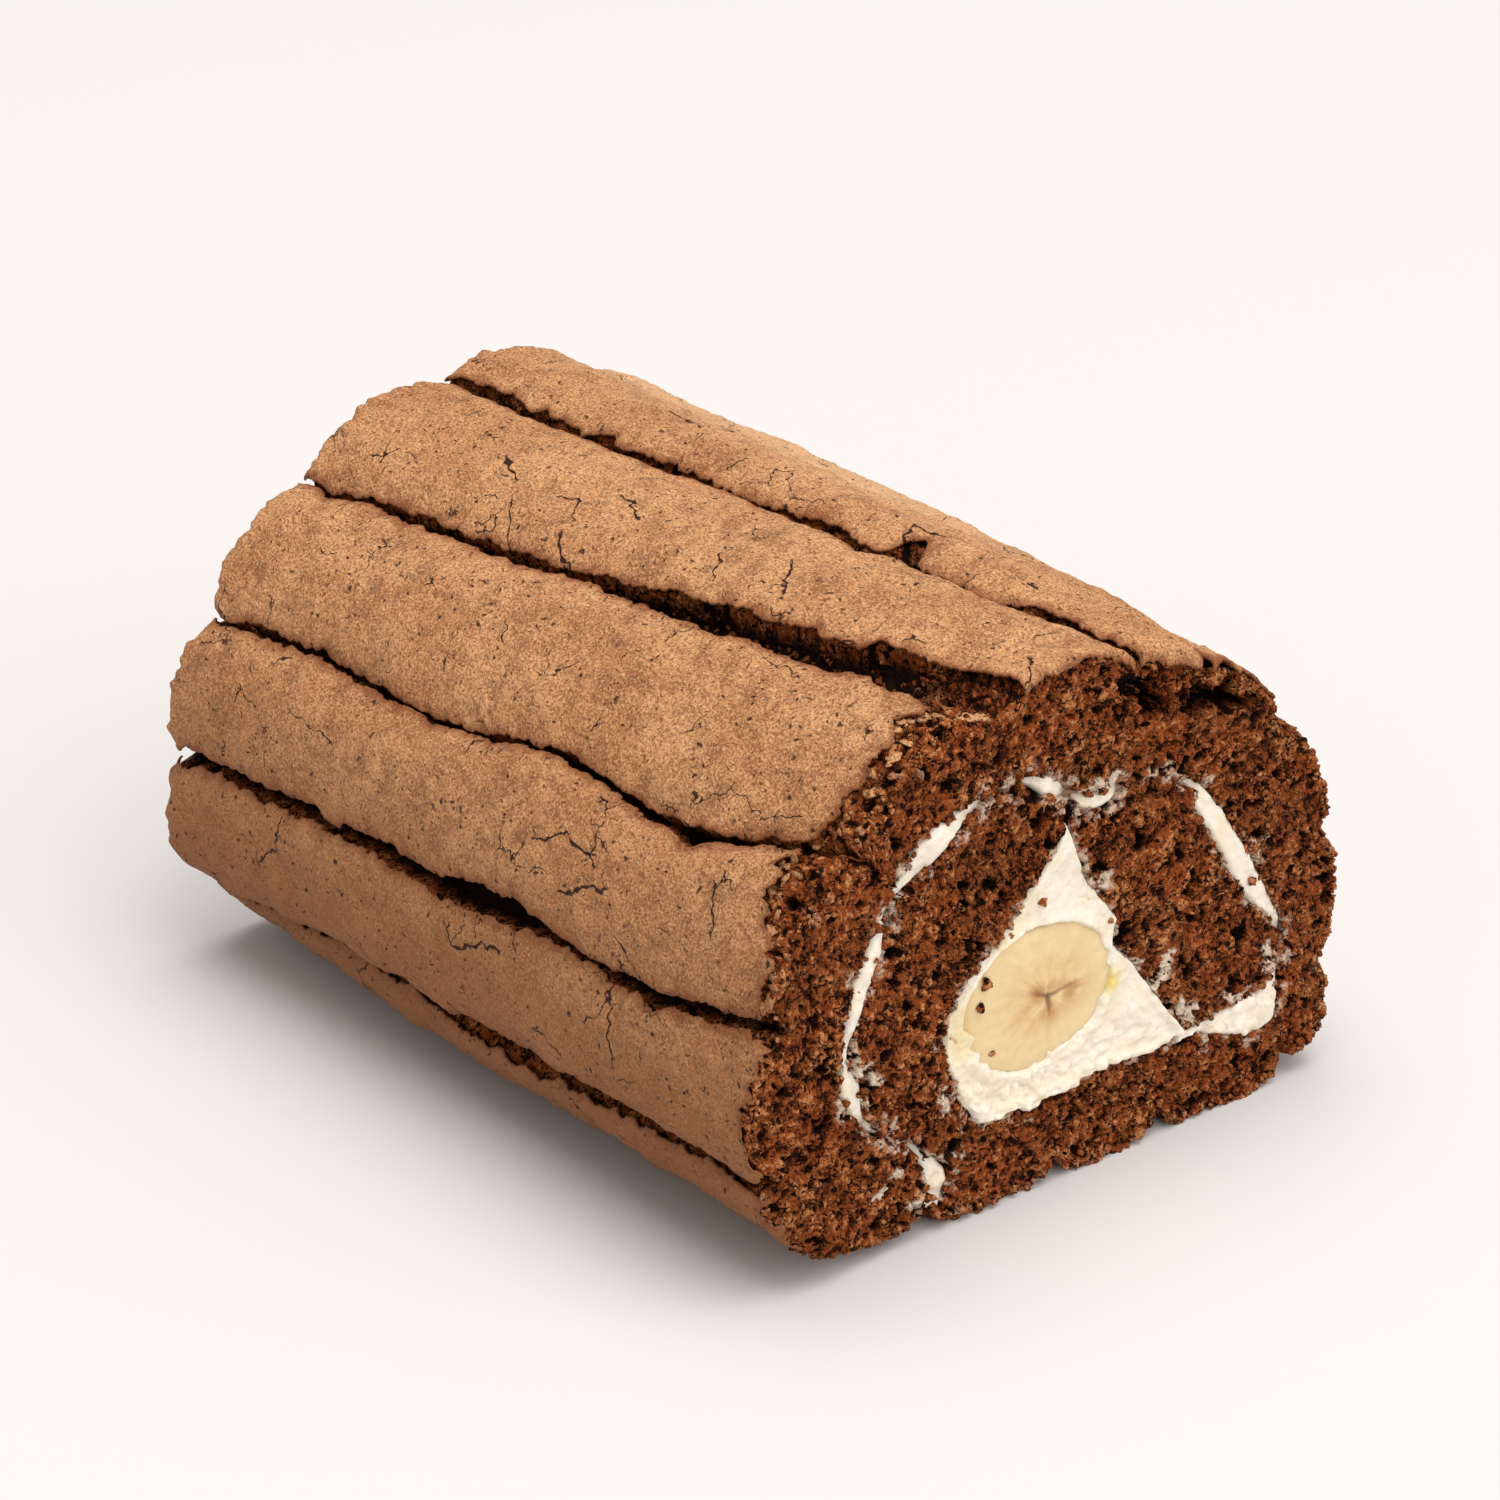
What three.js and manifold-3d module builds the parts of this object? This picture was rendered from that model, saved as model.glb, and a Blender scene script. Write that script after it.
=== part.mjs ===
// A chocolate roll cake with a cream and banana filling, cut at both ends.
//
// The cake was one flat sponge sheet, piped as fingers side by side, spread with cream and rolled
// up round a banana. So it is three solids that all run from cut to cut: the rolled sheet, whose
// crust side carries a rib for every piped finger and an open crack between two fingers; the
// cream, which lies as a band between the turns and as a thick wedge in the heart; and the banana.
//
// Millimetres. +X runs along the roll, towards the end with the lower crown. +Z is up, and the
// origin is the middle of the flat base. The sheet's loose end, the tail, is tucked under on -Y.
import * as THREE from "three";
import { mergeVertices } from "three/addons/utils/BufferGeometryUtils.js";
import Module from "manifold-3d";

// ---- Driving sizes -----------------------------------------------------------------------------

const LENGTH = 150;
const FAR = { halfWidth: 63.2, height: 91.3 }; // over the fingers, at the -X cut
const NEAR = { halfWidth: 61.2, height: 89.2 }; // and at the +X cut
const BELLY_HEIGHT = 32; // where the section is widest
const CROWN_POWER = 1.9; // 2 is an ellipse, more is squarer
const TAIL_SIDE_POWER = 3; // the lower quarter on -Y
const BACK_SIDE_POWER = 7; // the lower quarter on +Y
const RIB = 3; // how far a finger's crust falls towards the cracks beside it
const RIB_POWER = 3.4; // a high power gives a finger a flat back and steep sides
const PRESSED = 1.2; // how far its own weight has flattened the underside
const CRACK_DEPTH = 2.2; // of a closed crack, under the crust beside it
const CRACK_DEPTH_PER_OPENING = 0.5;
const CRACK_SHOULDER = 1.4; // how far a crack's sloping side goes on past its opening
const ARRIS = { inset: 0.6, length: 3 }; // each cut's worn edge
const GAP = 0.3; // between the solids of two pieces that touch

// The cracks from the +Y shoulder, over the crown and down -Y to the tail. A place is a distance
// from the crown round the outline over the fingers, by way of -Y, and an opening is the gap between
// two fingers' crusts. A swell is how far the finger behind the crack stands over the outline. Each
// list runs at even steps from the -X cut to the +X cut.
const CRACKS = [
  {
    name: "back_shoulder",
    place: [-50, -51, -52, -53, -54, -55],
    opening: [2, 1.2, 1.8, 3, 3.4, 2.6],
    swell: [-0.8, -0.2, 0.9, 1.1, 0.6, -0.8],
  },
  {
    name: "back_crown",
    place: [-25.8, -26, -27, -28, -29.5, -30.7],
    opening: [2.2, 2.6, 1.4, 0.8, 1.8, 2.6],
    swell: [0.8, 0.6, 1.4, 1.6, 1, -0.6],
  },
  {
    name: "crown",
    place: [5, 2.4, -1, -4, -7.6, -14],
    opening: [3, 2.6, 2.6, 1.6, 0.4, 2],
    swell: [1, 0.6, 0, 0, 0, 0],
  },
  {
    name: "shoulder",
    place: [37.8, 34.2, 31.3, 25.8, 20.8, 15.2],
    opening: [0.8, 2, 4, 4.5, 6.5, 9],
    swell: [0.4, 0, 0, 0, 0, 0],
  },
  {
    name: "flank",
    place: [65.4, 62.4, 61.6, 56.8, 56.2, 46.3],
    opening: [1.4, 1.5, 1.5, 2.2, 1.5, 1],
    swell: [1.2, 0.6, 0, 0, 0, -0.6],
  },
  {
    name: "belly",
    place: [90.4, 87.4, 85.5, 81.9, 82.2, 77],
    opening: [2.6, 2.8, 3.2, 3.4, 2.6, 3],
    swell: [0.8, 0.4, 0, -0.2, 0, -0.8],
  },
  {
    name: "foot",
    place: [117.5, 112, 109.3, 108, 104.5, 104],
    opening: [0.6, 0.6, 1.6, 3.2, 3.6, 3],
    swell: [0, -0.6, 0.6, 0, -1, -1],
  },
  {
    name: "underside",
    place: [135, 131, 130, 127, 125, 124],
    opening: [1, 1.4, 1.6, 1.4, 1.6, 2],
    swell: [0, 0, 0, 0, 0, 0],
  },
  {
    name: "tail",
    place: [152.6, 151.6, 150.6, 149.6, 148.6, 147.6],
    opening: [2.4, 2.2, 2.4, 2.4, 2.6, 3],
    swell: [0, 0, 0, 0, 0, 0],
  },
];
// The other cracks, under the roll and up its +Y side, are spread evenly from the tail on.
const BACK = { cracks: 5, drift: 1.3, opening: 1.8, openingSpread: 0.7, swell: 0.5, waves: 1.4 };

// Under the tail's edge the two turns part without cream: across, and the slot's width.
const TAIL_SLOT = { across: -25.2, width: 1.6, top: 6 };
// The cream between two turns of the sheet, from that slot, round the outer turn and back under
// the heart: across, up, and the band's thickness there.
const CREAM_BAND = [
  [-25.2, 4.5, 2],
  [-26, 10, 2.6],
  [-29, 15.5, 1],
  [-35, 21, 1.1],
  [-40.4, 28, 3.4],
  [-41.9, 37, 1.4],
  [-39, 48, 2.2],
  [-34.2, 57.5, 1],
  [-27.5, 64.6, 4],
  [-15, 69.4, 1.8],
  [-5, 69.6, 1],
  [4, 66.4, 2],
  [9.5, 64.6, 3.2],
  [18, 63.5, 0.9],
  [26.5, 59.3, 1.6],
  [32, 51.2, 4.4],
  [40.5, 38, 4.4],
  [47, 28.5, 1.8],
  [47.6, 20.5, 1.2],
  [42.5, 13.4, 5.6],
  [33, 14.4, 3],
  [22, 16.6, 2],
];
// The wedge of cream in the heart, clockwise from the fold of the inner turn.
const HEART = [
  [1.3, 60.9], [5.4, 50], [11.9, 41.8], [10.8, 37.6], [16.3, 32], [24.5, 20.2], [26.8, 16.6],
  [18.9, 15.5], [10.4, 16.2], [1.2, 15.4], [-14.7, 16.2], [-18.6, 20.6], [-22, 28.9],
  [-21.8, 35.9], [-16.9, 41.7], [-12.6, 44.9], [-7.4, 50.1], [-0.8, 57.3],
];
const BANANA = { across: -4.1, up: 33.7, halfWidth: 14.9, halfHeight: 11.9, tilt: -0.04 };

// How finely the solids are faceted.
const SLICES = 18; // lengths between two stations, apart from the two worn edges
const FINGER_PLACES = [0.22, 0.5, 0.78]; // points across the back of each finger
const BAND_POINTS = 66;
const HEART_POINTS = 56;
const BANANA_SIDES = 28;

// ---- The outer section -------------------------------------------------------------------------

const mix = (a, b, t) => a + (b - a) * t;

// A value that runs smoothly through evenly spaced ones, for u from 0 to 1.
function along(values, u) {
  const points = values.map((value, i) => new THREE.Vector2(i / (values.length - 1), value));
  return new THREE.SplineCurve(points).getPoint(u).y;
}

// The outline over the fingers at u, as a fine loop from the crown by way of -Y, with each point's
// distance along the loop.
function outlineAt(u) {
  const steps = 720;
  const halfWidth = mix(FAR.halfWidth, NEAR.halfWidth, u);
  const crown = mix(FAR.height, NEAR.height, u) - BELLY_HEIGHT;
  const drop = BELLY_HEIGHT + PRESSED;
  const loop = [];
  let travelled = 0;
  for (let i = 0; i <= steps; i += 1) {
    const angle = Math.PI / 2 + (i / steps) * 2 * Math.PI;
    const [c, s] = [Math.cos(angle), Math.sin(angle)];
    const lowerPower = c < 0 ? TAIL_SIDE_POWER : BACK_SIDE_POWER;
    const power = s >= 0 ? CROWN_POWER : lowerPower;
    const reach = s >= 0 ? crown : drop;
    const radius =
      (Math.abs(c / halfWidth) ** power + Math.abs(s / reach) ** power) ** (-1 / power);
    const point = new THREE.Vector2(radius * c, BELLY_HEIGHT + radius * s);
    if (i > 0) travelled += point.distanceTo(loop[i - 1].point);
    loop.push({ point, travelled });
  }
  return loop;
}

// The point at a distance round an outline, moved in from it by a depth.
function pointUnder(loop, distance, depth) {
  const whole = loop.at(-1).travelled;
  const wanted = ((distance % whole) + whole) % whole;
  const i = Math.max(1, loop.findIndex((entry) => entry.travelled >= wanted));
  const [a, b] = [loop[i - 1], loop[i]];
  const t = (wanted - a.travelled) / (b.travelled - a.travelled);
  const ahead = b.point.clone().sub(a.point).normalize();
  const inwards = new THREE.Vector2(-ahead.y, ahead.x);
  return a.point.clone().lerp(b.point, t).addScaledVector(inwards, depth);
}

// Every crack at u, in order round an outline of the given length, the first one again at the end.
function cracksAt(u, whole) {
  const drawn = CRACKS.map(({ place, opening, swell }) => ({
    place: along(place, u),
    opening: along(opening, u),
    swell: along(swell, u),
  }));
  const again = { ...drawn[0], place: drawn[0].place + whole };
  const tail = drawn.at(-1);
  const spread = Array.from({ length: BACK.cracks }, (_, i) => {
    const wave = Math.sin(2 * Math.PI * (BACK.waves * u + 0.37 * i));
    const cross = Math.cos(2 * Math.PI * (BACK.waves * u + 0.61 * i));
    return {
      place: mix(tail.place, again.place, (i + 1) / (BACK.cracks + 1)) + BACK.drift * wave,
      opening: BACK.opening + BACK.openingSpread * cross,
      swell: BACK.swell * cross,
    };
  });
  return [...drawn, ...spread, again];
}

// One station's loop: down into every crack and over every finger, flat where it lies on a table.
function ribbedLoop(x) {
  const u = x / LENGTH + 0.5;
  const loop = outlineAt(u);
  const wear = Math.max(0, 1 - (LENGTH / 2 - Math.abs(x)) / ARRIS.length) * ARRIS.inset;
  const points = [];
  const put = (distance, depth) => {
    const p = pointUnder(loop, distance, depth + wear);
    points.push(new THREE.Vector2(p.x, Math.max(0, p.y)));
  };
  const cracks = cracksAt(u, loop.at(-1).travelled);
  cracks.slice(0, -1).forEach((crack, i) => {
    const next = cracks[i + 1];
    const fall = (distance) => {
      const fromMiddle = Math.abs((2 * (distance - crack.place)) / (next.place - crack.place) - 1);
      return RIB * fromMiddle ** RIB_POWER - crack.swell * (1 - fromMiddle ** 2);
    };
    const lips = [
      crack.place + crack.opening / 2 + CRACK_SHOULDER,
      next.place - next.opening / 2 - CRACK_SHOULDER,
    ];
    put(crack.place, RIB + CRACK_DEPTH + CRACK_DEPTH_PER_OPENING * crack.opening);
    [0, ...FINGER_PLACES, 1].map((t) => mix(...lips, t)).forEach((at) => put(at, fall(at)));
  });
  return points;
}

// ---- Solids ------------------------------------------------------------------------------------

// A closed solid through loops of (across, up) points, one at each station along X, with both ends
// capped from the middle of their loop.
function loft(stations, loops) {
  const count = loops[0].length;
  const positions = loops.flatMap((loop, k) => loop.flatMap((p) => [stations[k], p.x, p.y]));
  const faces = [];
  for (let k = 0; k + 1 < loops.length; k += 1) {
    for (let i = 0; i < count; i += 1) {
      const [a, b] = [k * count + i, k * count + ((i + 1) % count)];
      faces.push(a, b, a + count, b, b + count, a + count);
    }
  }
  for (const k of [0, loops.length - 1]) {
    const middle = loops[k].reduce((sum, p) => sum.add(p), new THREE.Vector2()).divideScalar(count);
    const hub = positions.push(stations[k], middle.x, middle.y) / 3 - 1;
    for (let i = 0; i < count; i += 1) {
      const [a, b] = [k * count + i, k * count + ((i + 1) % count)];
      faces.push(hub, ...(k === 0 ? [b, a] : [a, b]));
    }
  }
  const geometry = new THREE.BufferGeometry();
  geometry.setAttribute("position", new THREE.Float32BufferAttribute(positions, 3));
  return geometry.setIndex(faces);
}

// A straight solid of one (across, up) outline, from cut to cut, and past them by a margin.
function prism(outline, overrun = 0) {
  const depth = LENGTH + 2 * overrun;
  const geometry = new THREE.ExtrudeGeometry(new THREE.Shape(outline), { depth, bevelEnabled: false });
  const [x, y, z] = [new THREE.Vector3(1, 0, 0), new THREE.Vector3(0, 1, 0), new THREE.Vector3(0, 0, 1)];
  return geometry.translate(0, 0, -depth / 2).applyMatrix4(new THREE.Matrix4().makeBasis(y, z, x));
}

const wasm = await Module();
wasm.setup();

function solidOf(geometry) {
  geometry.deleteAttribute("normal");
  geometry.deleteAttribute("uv");
  const merged = mergeVertices(geometry, 1e-4);
  const vertProperties = new Float32Array(merged.getAttribute("position").array);
  const triVerts = new Uint32Array(merged.index.array);
  return new wasm.Manifold(new wasm.Mesh({ numProp: 3, vertProperties, triVerts }));
}

function geometryOf(solid) {
  const mesh = solid.getMesh();
  const geometry = new THREE.BufferGeometry();
  geometry.setAttribute("position", new THREE.BufferAttribute(mesh.vertProperties, 3));
  geometry.setIndex(new THREE.BufferAttribute(mesh.triVerts, 1));
  return geometry.toNonIndexed();
}

// ---- The filling -------------------------------------------------------------------------------

// The band's two edges, joined into one outline that is wider all round by a margin.
function bandOutline(margin) {
  const line = new THREE.CatmullRomCurve3(CREAM_BAND.map((p) => new THREE.Vector3(...p)));
  const edges = [[], []];
  for (let i = 0; i <= BAND_POINTS; i += 1) {
    const t = i / BAND_POINTS;
    const { x, y, z: thickness } = line.getPoint(t);
    const ahead = line.getPoint(Math.min(1, t + 0.002)).sub(line.getPoint(Math.max(0, t - 0.002)));
    const side = new THREE.Vector2(-ahead.y, ahead.x).normalize();
    const centre = new THREE.Vector2(x, y);
    [1, -1].forEach((sign, edge) => {
      edges[edge].push(centre.clone().addScaledVector(side, sign * (thickness / 2 + margin)));
    });
  }
  return [...edges[0], ...edges[1].reverse()];
}

// The heart's outline, pushed out from its middle by a margin.
function heartOutline(margin) {
  const corners = HEART.map((p) => new THREE.Vector2(...p));
  const middle = new THREE.Vector2(BANANA.across, BANANA.up);
  const outwards = (p) => p.clone().addScaledVector(p.clone().sub(middle).normalize(), margin);
  const ring = new THREE.SplineCurve([...corners, corners[0]].map(outwards));
  return ring.getPoints(HEART_POINTS).slice(1);
}

function bananaOutline(margin) {
  const { across, up, halfWidth, halfHeight, tilt } = BANANA;
  const ring = new THREE.EllipseCurve(
    across, up, halfWidth + margin, halfHeight + margin, 0, 2 * Math.PI, false, tilt,
  );
  return ring.getPoints(BANANA_SIDES).slice(1);
}

// Band and heart as one solid of cream, clipped to the cuts unless it is to cut the sheet.
function creamSolid(margin, overrun) {
  const band = solidOf(prism(bandOutline(margin), overrun));
  return band.add(solidOf(prism(heartOutline(margin), overrun)));
}

// The tail's slot, from under the base into the band.
function slotSolid() {
  const { across, width, top } = TAIL_SLOT;
  const slot = new THREE.BoxGeometry(LENGTH + 2, width, top + 1);
  return solidOf(slot.translate(0, across, (top - 1) / 2));
}

// ---- The three pieces --------------------------------------------------------------------------

function sheetStations() {
  const worn = LENGTH / 2 - ARRIS.length;
  const between = Array.from({ length: SLICES + 1 }, (_, i) => mix(-worn, worn, i / SLICES));
  return [-LENGTH / 2, ...between, LENGTH / 2];
}

// The rolled sheet: the ribbed loaf, less the way that the cream takes through it.
function rolledSheet(loaf) {
  return geometryOf(loaf.subtract(creamSolid(GAP, 1).add(slotSolid())));
}

// The cream, kept inside the loaf and cut away round the banana.
function cream(loaf) {
  const room = solidOf(prism(bananaOutline(GAP), 1));
  return geometryOf(creamSolid(0, 0).intersect(loaf).subtract(room));
}

function piece(name, geometry, colour, roughness) {
  geometry.computeVertexNormals();
  const material = new THREE.MeshStandardMaterial({ color: colour, roughness, metalness: 0 });
  const mesh = new THREE.Mesh(geometry, material);
  mesh.name = name;
  return mesh;
}

const stations = sheetStations();
const loaf = solidOf(loft(stations, stations.map(ribbedLoop)));

const cake = new THREE.Group();
cake.add(piece("sponge_sheet", rolledSheet(loaf), 0x6b3d22, 0.9));
cake.add(piece("cream_filling", cream(loaf), 0xf3efdc, 0.55));
cake.add(piece("banana", prism(bananaOutline(0)), 0xecd9a0, 0.4));

// The origin goes to the middle of the base.
const box = new THREE.Box3().setFromObject(cake);
cake.position.set(0, -(box.min.y + box.max.y) / 2, -box.min.z);

export default cake;
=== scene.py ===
# %% [markdown]
# # A chocolate roll cake with cream and banana
# The cake was one flat sponge sheet, piped as fingers side by side, baked, spread with cream and
# rolled up round a banana. Three things make its looks: the thin tan crust that splits between two
# fingers, the dark open crumb under it, and the pale filling in the cut. Each is modelled as what it
# is. The crust is a set of thin plates, the crumb a rough body below them, and the cream and the
# banana run through it from cut to cut.

# %% Load the frame
import math

import bmesh
import bpy
import numpy as np
from mathutils import Matrix, Vector, noise


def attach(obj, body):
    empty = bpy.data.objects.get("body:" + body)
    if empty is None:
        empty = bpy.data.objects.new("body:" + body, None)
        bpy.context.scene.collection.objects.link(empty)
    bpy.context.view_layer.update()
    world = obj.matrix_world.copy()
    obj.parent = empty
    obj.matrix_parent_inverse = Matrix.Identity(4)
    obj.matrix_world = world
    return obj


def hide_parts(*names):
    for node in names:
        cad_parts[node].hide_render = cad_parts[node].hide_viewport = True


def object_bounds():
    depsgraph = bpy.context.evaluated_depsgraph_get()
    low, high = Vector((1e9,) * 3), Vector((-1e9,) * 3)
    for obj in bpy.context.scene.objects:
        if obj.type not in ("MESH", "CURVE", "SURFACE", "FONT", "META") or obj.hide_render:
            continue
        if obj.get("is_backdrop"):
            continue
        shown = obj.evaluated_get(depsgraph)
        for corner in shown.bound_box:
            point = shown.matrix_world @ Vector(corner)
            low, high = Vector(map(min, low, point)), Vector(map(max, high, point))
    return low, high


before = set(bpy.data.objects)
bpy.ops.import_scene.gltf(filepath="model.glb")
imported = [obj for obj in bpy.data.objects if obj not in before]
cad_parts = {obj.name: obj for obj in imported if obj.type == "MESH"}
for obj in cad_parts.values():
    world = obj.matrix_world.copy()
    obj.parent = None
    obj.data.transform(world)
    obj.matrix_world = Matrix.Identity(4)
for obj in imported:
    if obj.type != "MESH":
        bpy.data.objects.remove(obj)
solid_box = [list(corner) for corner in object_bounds()]
print("solids span", [round(high - low, 4) for low, high in zip(*solid_box)], "m")

# %% [markdown]
# ## The roll's outline
# Across the roll, the outline over the fingers is a superellipse: an ellipse with powers other than
# 2, so that it can be round at the crown and nearly square where it sits on the table. A place on
# it is the distance walked from the crown by way of the -Y side. All the pieces are drawn on this
# one outline, so they fit each other. Sizes are in millimetres here and become metres at the end.

# %% The outline over the fingers
MM = 0.001
LENGTH = 150
FAR = {"half_width": 63.2, "height": 91.3}
NEAR = {"half_width": 61.2, "height": 89.2}
BELLY_HEIGHT = 32
CROWN_POWER = 1.9
TAIL_SIDE_POWER = 3
BACK_SIDE_POWER = 7
PRESSED = 1.2


def superellipse(half_width, height, steps=1440):
    """Across and up round the outline, with the distance walked to each point."""
    angle = np.linspace(0.5 * np.pi, 2.5 * np.pi, steps + 1)
    c, s = np.cos(angle), np.sin(angle)
    power = np.where(s >= 0, CROWN_POWER, np.where(c < 0, TAIL_SIDE_POWER, BACK_SIDE_POWER))
    reach = np.where(s >= 0, height - BELLY_HEIGHT, BELLY_HEIGHT + PRESSED)
    radius = (np.abs(c / half_width) ** power + np.abs(s / reach) ** power) ** (-1 / power)
    across, up = radius * c, BELLY_HEIGHT + radius * s
    walked = np.concatenate([[0], np.cumsum(np.hypot(np.diff(across), np.diff(up)))])
    return across, up, walked


def around(end):
    """For one cut: its whole length, and across, up and the inward normal by share of it."""
    across, up, walked = superellipse(end["half_width"], end["height"])
    share = walked / walked[-1]
    ahead = np.gradient(np.stack([across, up]), axis=1)
    ahead /= np.hypot(*ahead)
    return {"whole": walked[-1], "share": share, "table": (across, up, -ahead[1], ahead[0])}


ENDS = [around(FAR), around(NEAR)]


def whole_way(x):
    """The outline's whole length at x."""
    u = x / LENGTH + 0.5
    return ENDS[0]["whole"] * (1 - u) + ENDS[1]["whole"] * u


def on_outline(x, place):
    """Across, up and inward normal on the outline, for arrays of x and place."""
    u = x / LENGTH + 0.5
    share = (place / whole_way(x)) % 1
    far, near = ([np.interp(share, end["share"], row) for row in end["table"]] for end in ENDS)
    return [a * (1 - u) + b * u for a, b in zip(far, near)]


print("way round the outline", round(ENDS[0]["whole"]), "to", round(ENDS[1]["whole"]), "mm")

# %% [markdown]
# ## The cracks
# Where two piped fingers met, the crust split as the sheet was bent. Each crack gets its place and
# its opening at even steps along the roll, and noise makes it wander between them. The fingers
# need no list of their own: each one is what lies between two cracks.

# %% Where the cracks run, and how wide they are
CRACKS = [
    {
        "name": "back_shoulder",
        "place": [-50, -51, -52, -53, -54, -55],
        "opening": [2, 1.2, 1.8, 3, 3.4, 2.6],
        "swell": [-0.8, -0.2, 0.9, 1.1, 0.6, -0.8],
    },
    {
        "name": "back_crown",
        "place": [-25.8, -26, -27, -28, -29.5, -30.7],
        "opening": [2.2, 2.4, 0.8, 0.6, 1.6, 2.6, 1.2, 0.8, 0.8, 1.6, 2.6],
        "swell": [0.8, 0.6, 1.4, 1.6, 1, -0.6],
    },
    {
        "name": "crown",
        "place": [5, 2.4, -1, -4, -7.6, -14],
        "opening": [2.6, 3.2, 3.2, 3, 2.8, 0.3, 1.7, 1.1, 0.3, 1.6, 1.6],
        "swell": [1, 0.6, 0, 0, 0, 0],
    },
    {
        "name": "shoulder",
        "place": [37.8, 34.2, 31.3, 25.8, 20.8, 15.2],
        "opening": [1.4, 0.6, 2, 2.4, 1.9, 3, 5, 5.4, 6.4, 8, 10],
        "swell": [0.4, 0, 0, 0, 0, 0],
    },
    {
        "name": "flank",
        "place": [65.4, 62.4, 61.6, 56.8, 56.2, 46.3],
        "opening": [1.3, 1.3, 1.2, 1.3, 1.7, 1.3, 2, 1.5, 1.3, 1.3, 1],
        "swell": [1.2, 0.6, 0, 0, 0, -0.6],
    },
    {
        "name": "belly",
        "place": [90.4, 87.4, 85.5, 81.9, 82.2, 77],
        "opening": [2.8, 2.6, 2.9, 2.2, 3.2, 3.6, 4.2, 1.5, 2.2, 2.3, 2.8],
        "swell": [0.8, 0.4, 0, -0.2, 0, -0.8],
    },
    {
        "name": "foot",
        "place": [117.5, 112, 109.3, 108, 104.5, 104],
        "opening": [0.8, 0.6, 0.6, 0.8, 2.4, 3.8, 4.2, 4.4, 2.5, 2.6, 3],
        "swell": [0, -0.6, 0.6, 0, -1, -1],
    },
    {
        "name": "underside",
        "place": [135, 131, 130, 127, 125, 124],
        "opening": [1, 1.4, 1.6, 1.4, 1.6, 2],
        "swell": [0, 0, 0, 0, 0, 0],
    },
    {
        "name": "tail",
        "place": [152.6, 151.6, 150.6, 149.6, 148.6, 147.6],
        "opening": [2.4, 2.2, 2.4, 2.4, 2.6, 3],
        "swell": [0, 0, 0, 0, 0, 0],
    },
]
# Where a bit of crust is missing beside a crack, on the side of the higher or lower places.
NOTCHES = [
    {"crack": 2, "side": -1, "x": 29.5, "reach": 5.5, "half": 3.2},
    {"crack": 2, "side": -1, "x": 58, "reach": 3.2, "half": 4.4},
    {"crack": 4, "side": 1, "x": 47, "reach": 1.6, "half": 4},
]
# The other cracks, under the roll and up its back, are spread evenly from the tail on.
BACK = {"cracks": 5, "drift": 1.3, "opening": 1.8, "spread": 0.7, "swell": 0.5, "waves": 1.4}
# How far noise moves a crack and changes its opening: by how much, and over what length.
WANDER = ((0.6, 13), (0.35, 5), (0.15, 2))
UNEVEN = {"noise": ((0.3, 7), (0.2, 2.6)), "most_at": 2.6, "least": 0.2}
OPENING_SEED = 50
FINGERS = len(CRACKS) + BACK["cracks"]


def along(values, u):
    """A smooth curve through evenly spaced values, for u from 0 to 1."""
    points = np.asarray(values, float)
    last = len(points) - 1
    at = np.clip(u, 0, 1) * last
    i = np.minimum(at.astype(int), last - 1)
    t = at - i
    before, start = points[np.maximum(i - 1, 0)], points[i]
    stop, after = points[i + 1], points[np.minimum(i + 2, last)]
    leave, arrive = (stop - before) / 2, (after - start) / 2
    cubic = 2 * (start - stop) + leave + arrive
    square = 3 * (stop - start) - 2 * leave - arrive
    return ((cubic * t + square) * t + leave) * t + start


def waver(x, seed, size):
    """Noise along x, about -1 to 1, for a list of x."""
    return 2 * np.array([noise.noise((value / size, seed * 7.31, 0.5)) for value in x])


def drawn_crack(i):
    """Place, opening and swell of crack i at every station."""
    if i >= FINGERS:
        place, opening, swell = drawn_crack(i - FINGERS)
        return place + whole_way(STATIONS), opening, swell
    u = STATIONS / LENGTH + 0.5
    if i < len(CRACKS):
        place, opening, swell = (along(CRACKS[i][key], u) for key in ("place", "opening", "swell"))
    else:
        step = i - len(CRACKS)
        tail = along(CRACKS[-1]["place"], u)
        again = along(CRACKS[0]["place"], u) + whole_way(STATIONS)
        wave = np.sin(2 * np.pi * (BACK["waves"] * u + 0.37 * step))
        cross = np.cos(2 * np.pi * (BACK["waves"] * u + 0.61 * step))
        place = tail + (again - tail) * (step + 1) / (BACK["cracks"] + 1) + BACK["drift"] * wave
        opening = BACK["opening"] + BACK["spread"] * cross
        swell = BACK["swell"] * cross
    for torn in NOTCHES:
        if torn["crack"] == i:
            bite = torn["reach"] * np.exp(-(((STATIONS - torn["x"]) / torn["half"]) ** 2))
            place, opening = place + torn["side"] * bite / 2, opening + bite
    wander = sum(by * waver(STATIONS, i, size) for by, size in WANDER)
    uneven = sum(by * waver(STATIONS, i + OPENING_SEED, size) for by, size in UNEVEN["noise"])
    uneven = np.maximum(1 + uneven * np.minimum(1, UNEVEN["most_at"] / opening), UNEVEN["least"])
    return place + wander, opening * uneven, swell


STATIONS = np.linspace(-LENGTH / 2, LENGTH / 2, 2 * LENGTH + 1)
PLACE, OPENING, SWELL = (np.array(rows) for rows in zip(*(drawn_crack(i) for i in range(FINGERS + 1))))


def look_up(table, i, x):
    """A crack table's value for crack i at x, both of them arrays."""
    at = np.clip((x + LENGTH / 2) * 2, 0, len(STATIONS) - 1.001)
    k = at.astype(int)
    return table[i, k] + (table[i, k + 1] - table[i, k]) * (at - k)


print(FINGERS, "fingers")

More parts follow.
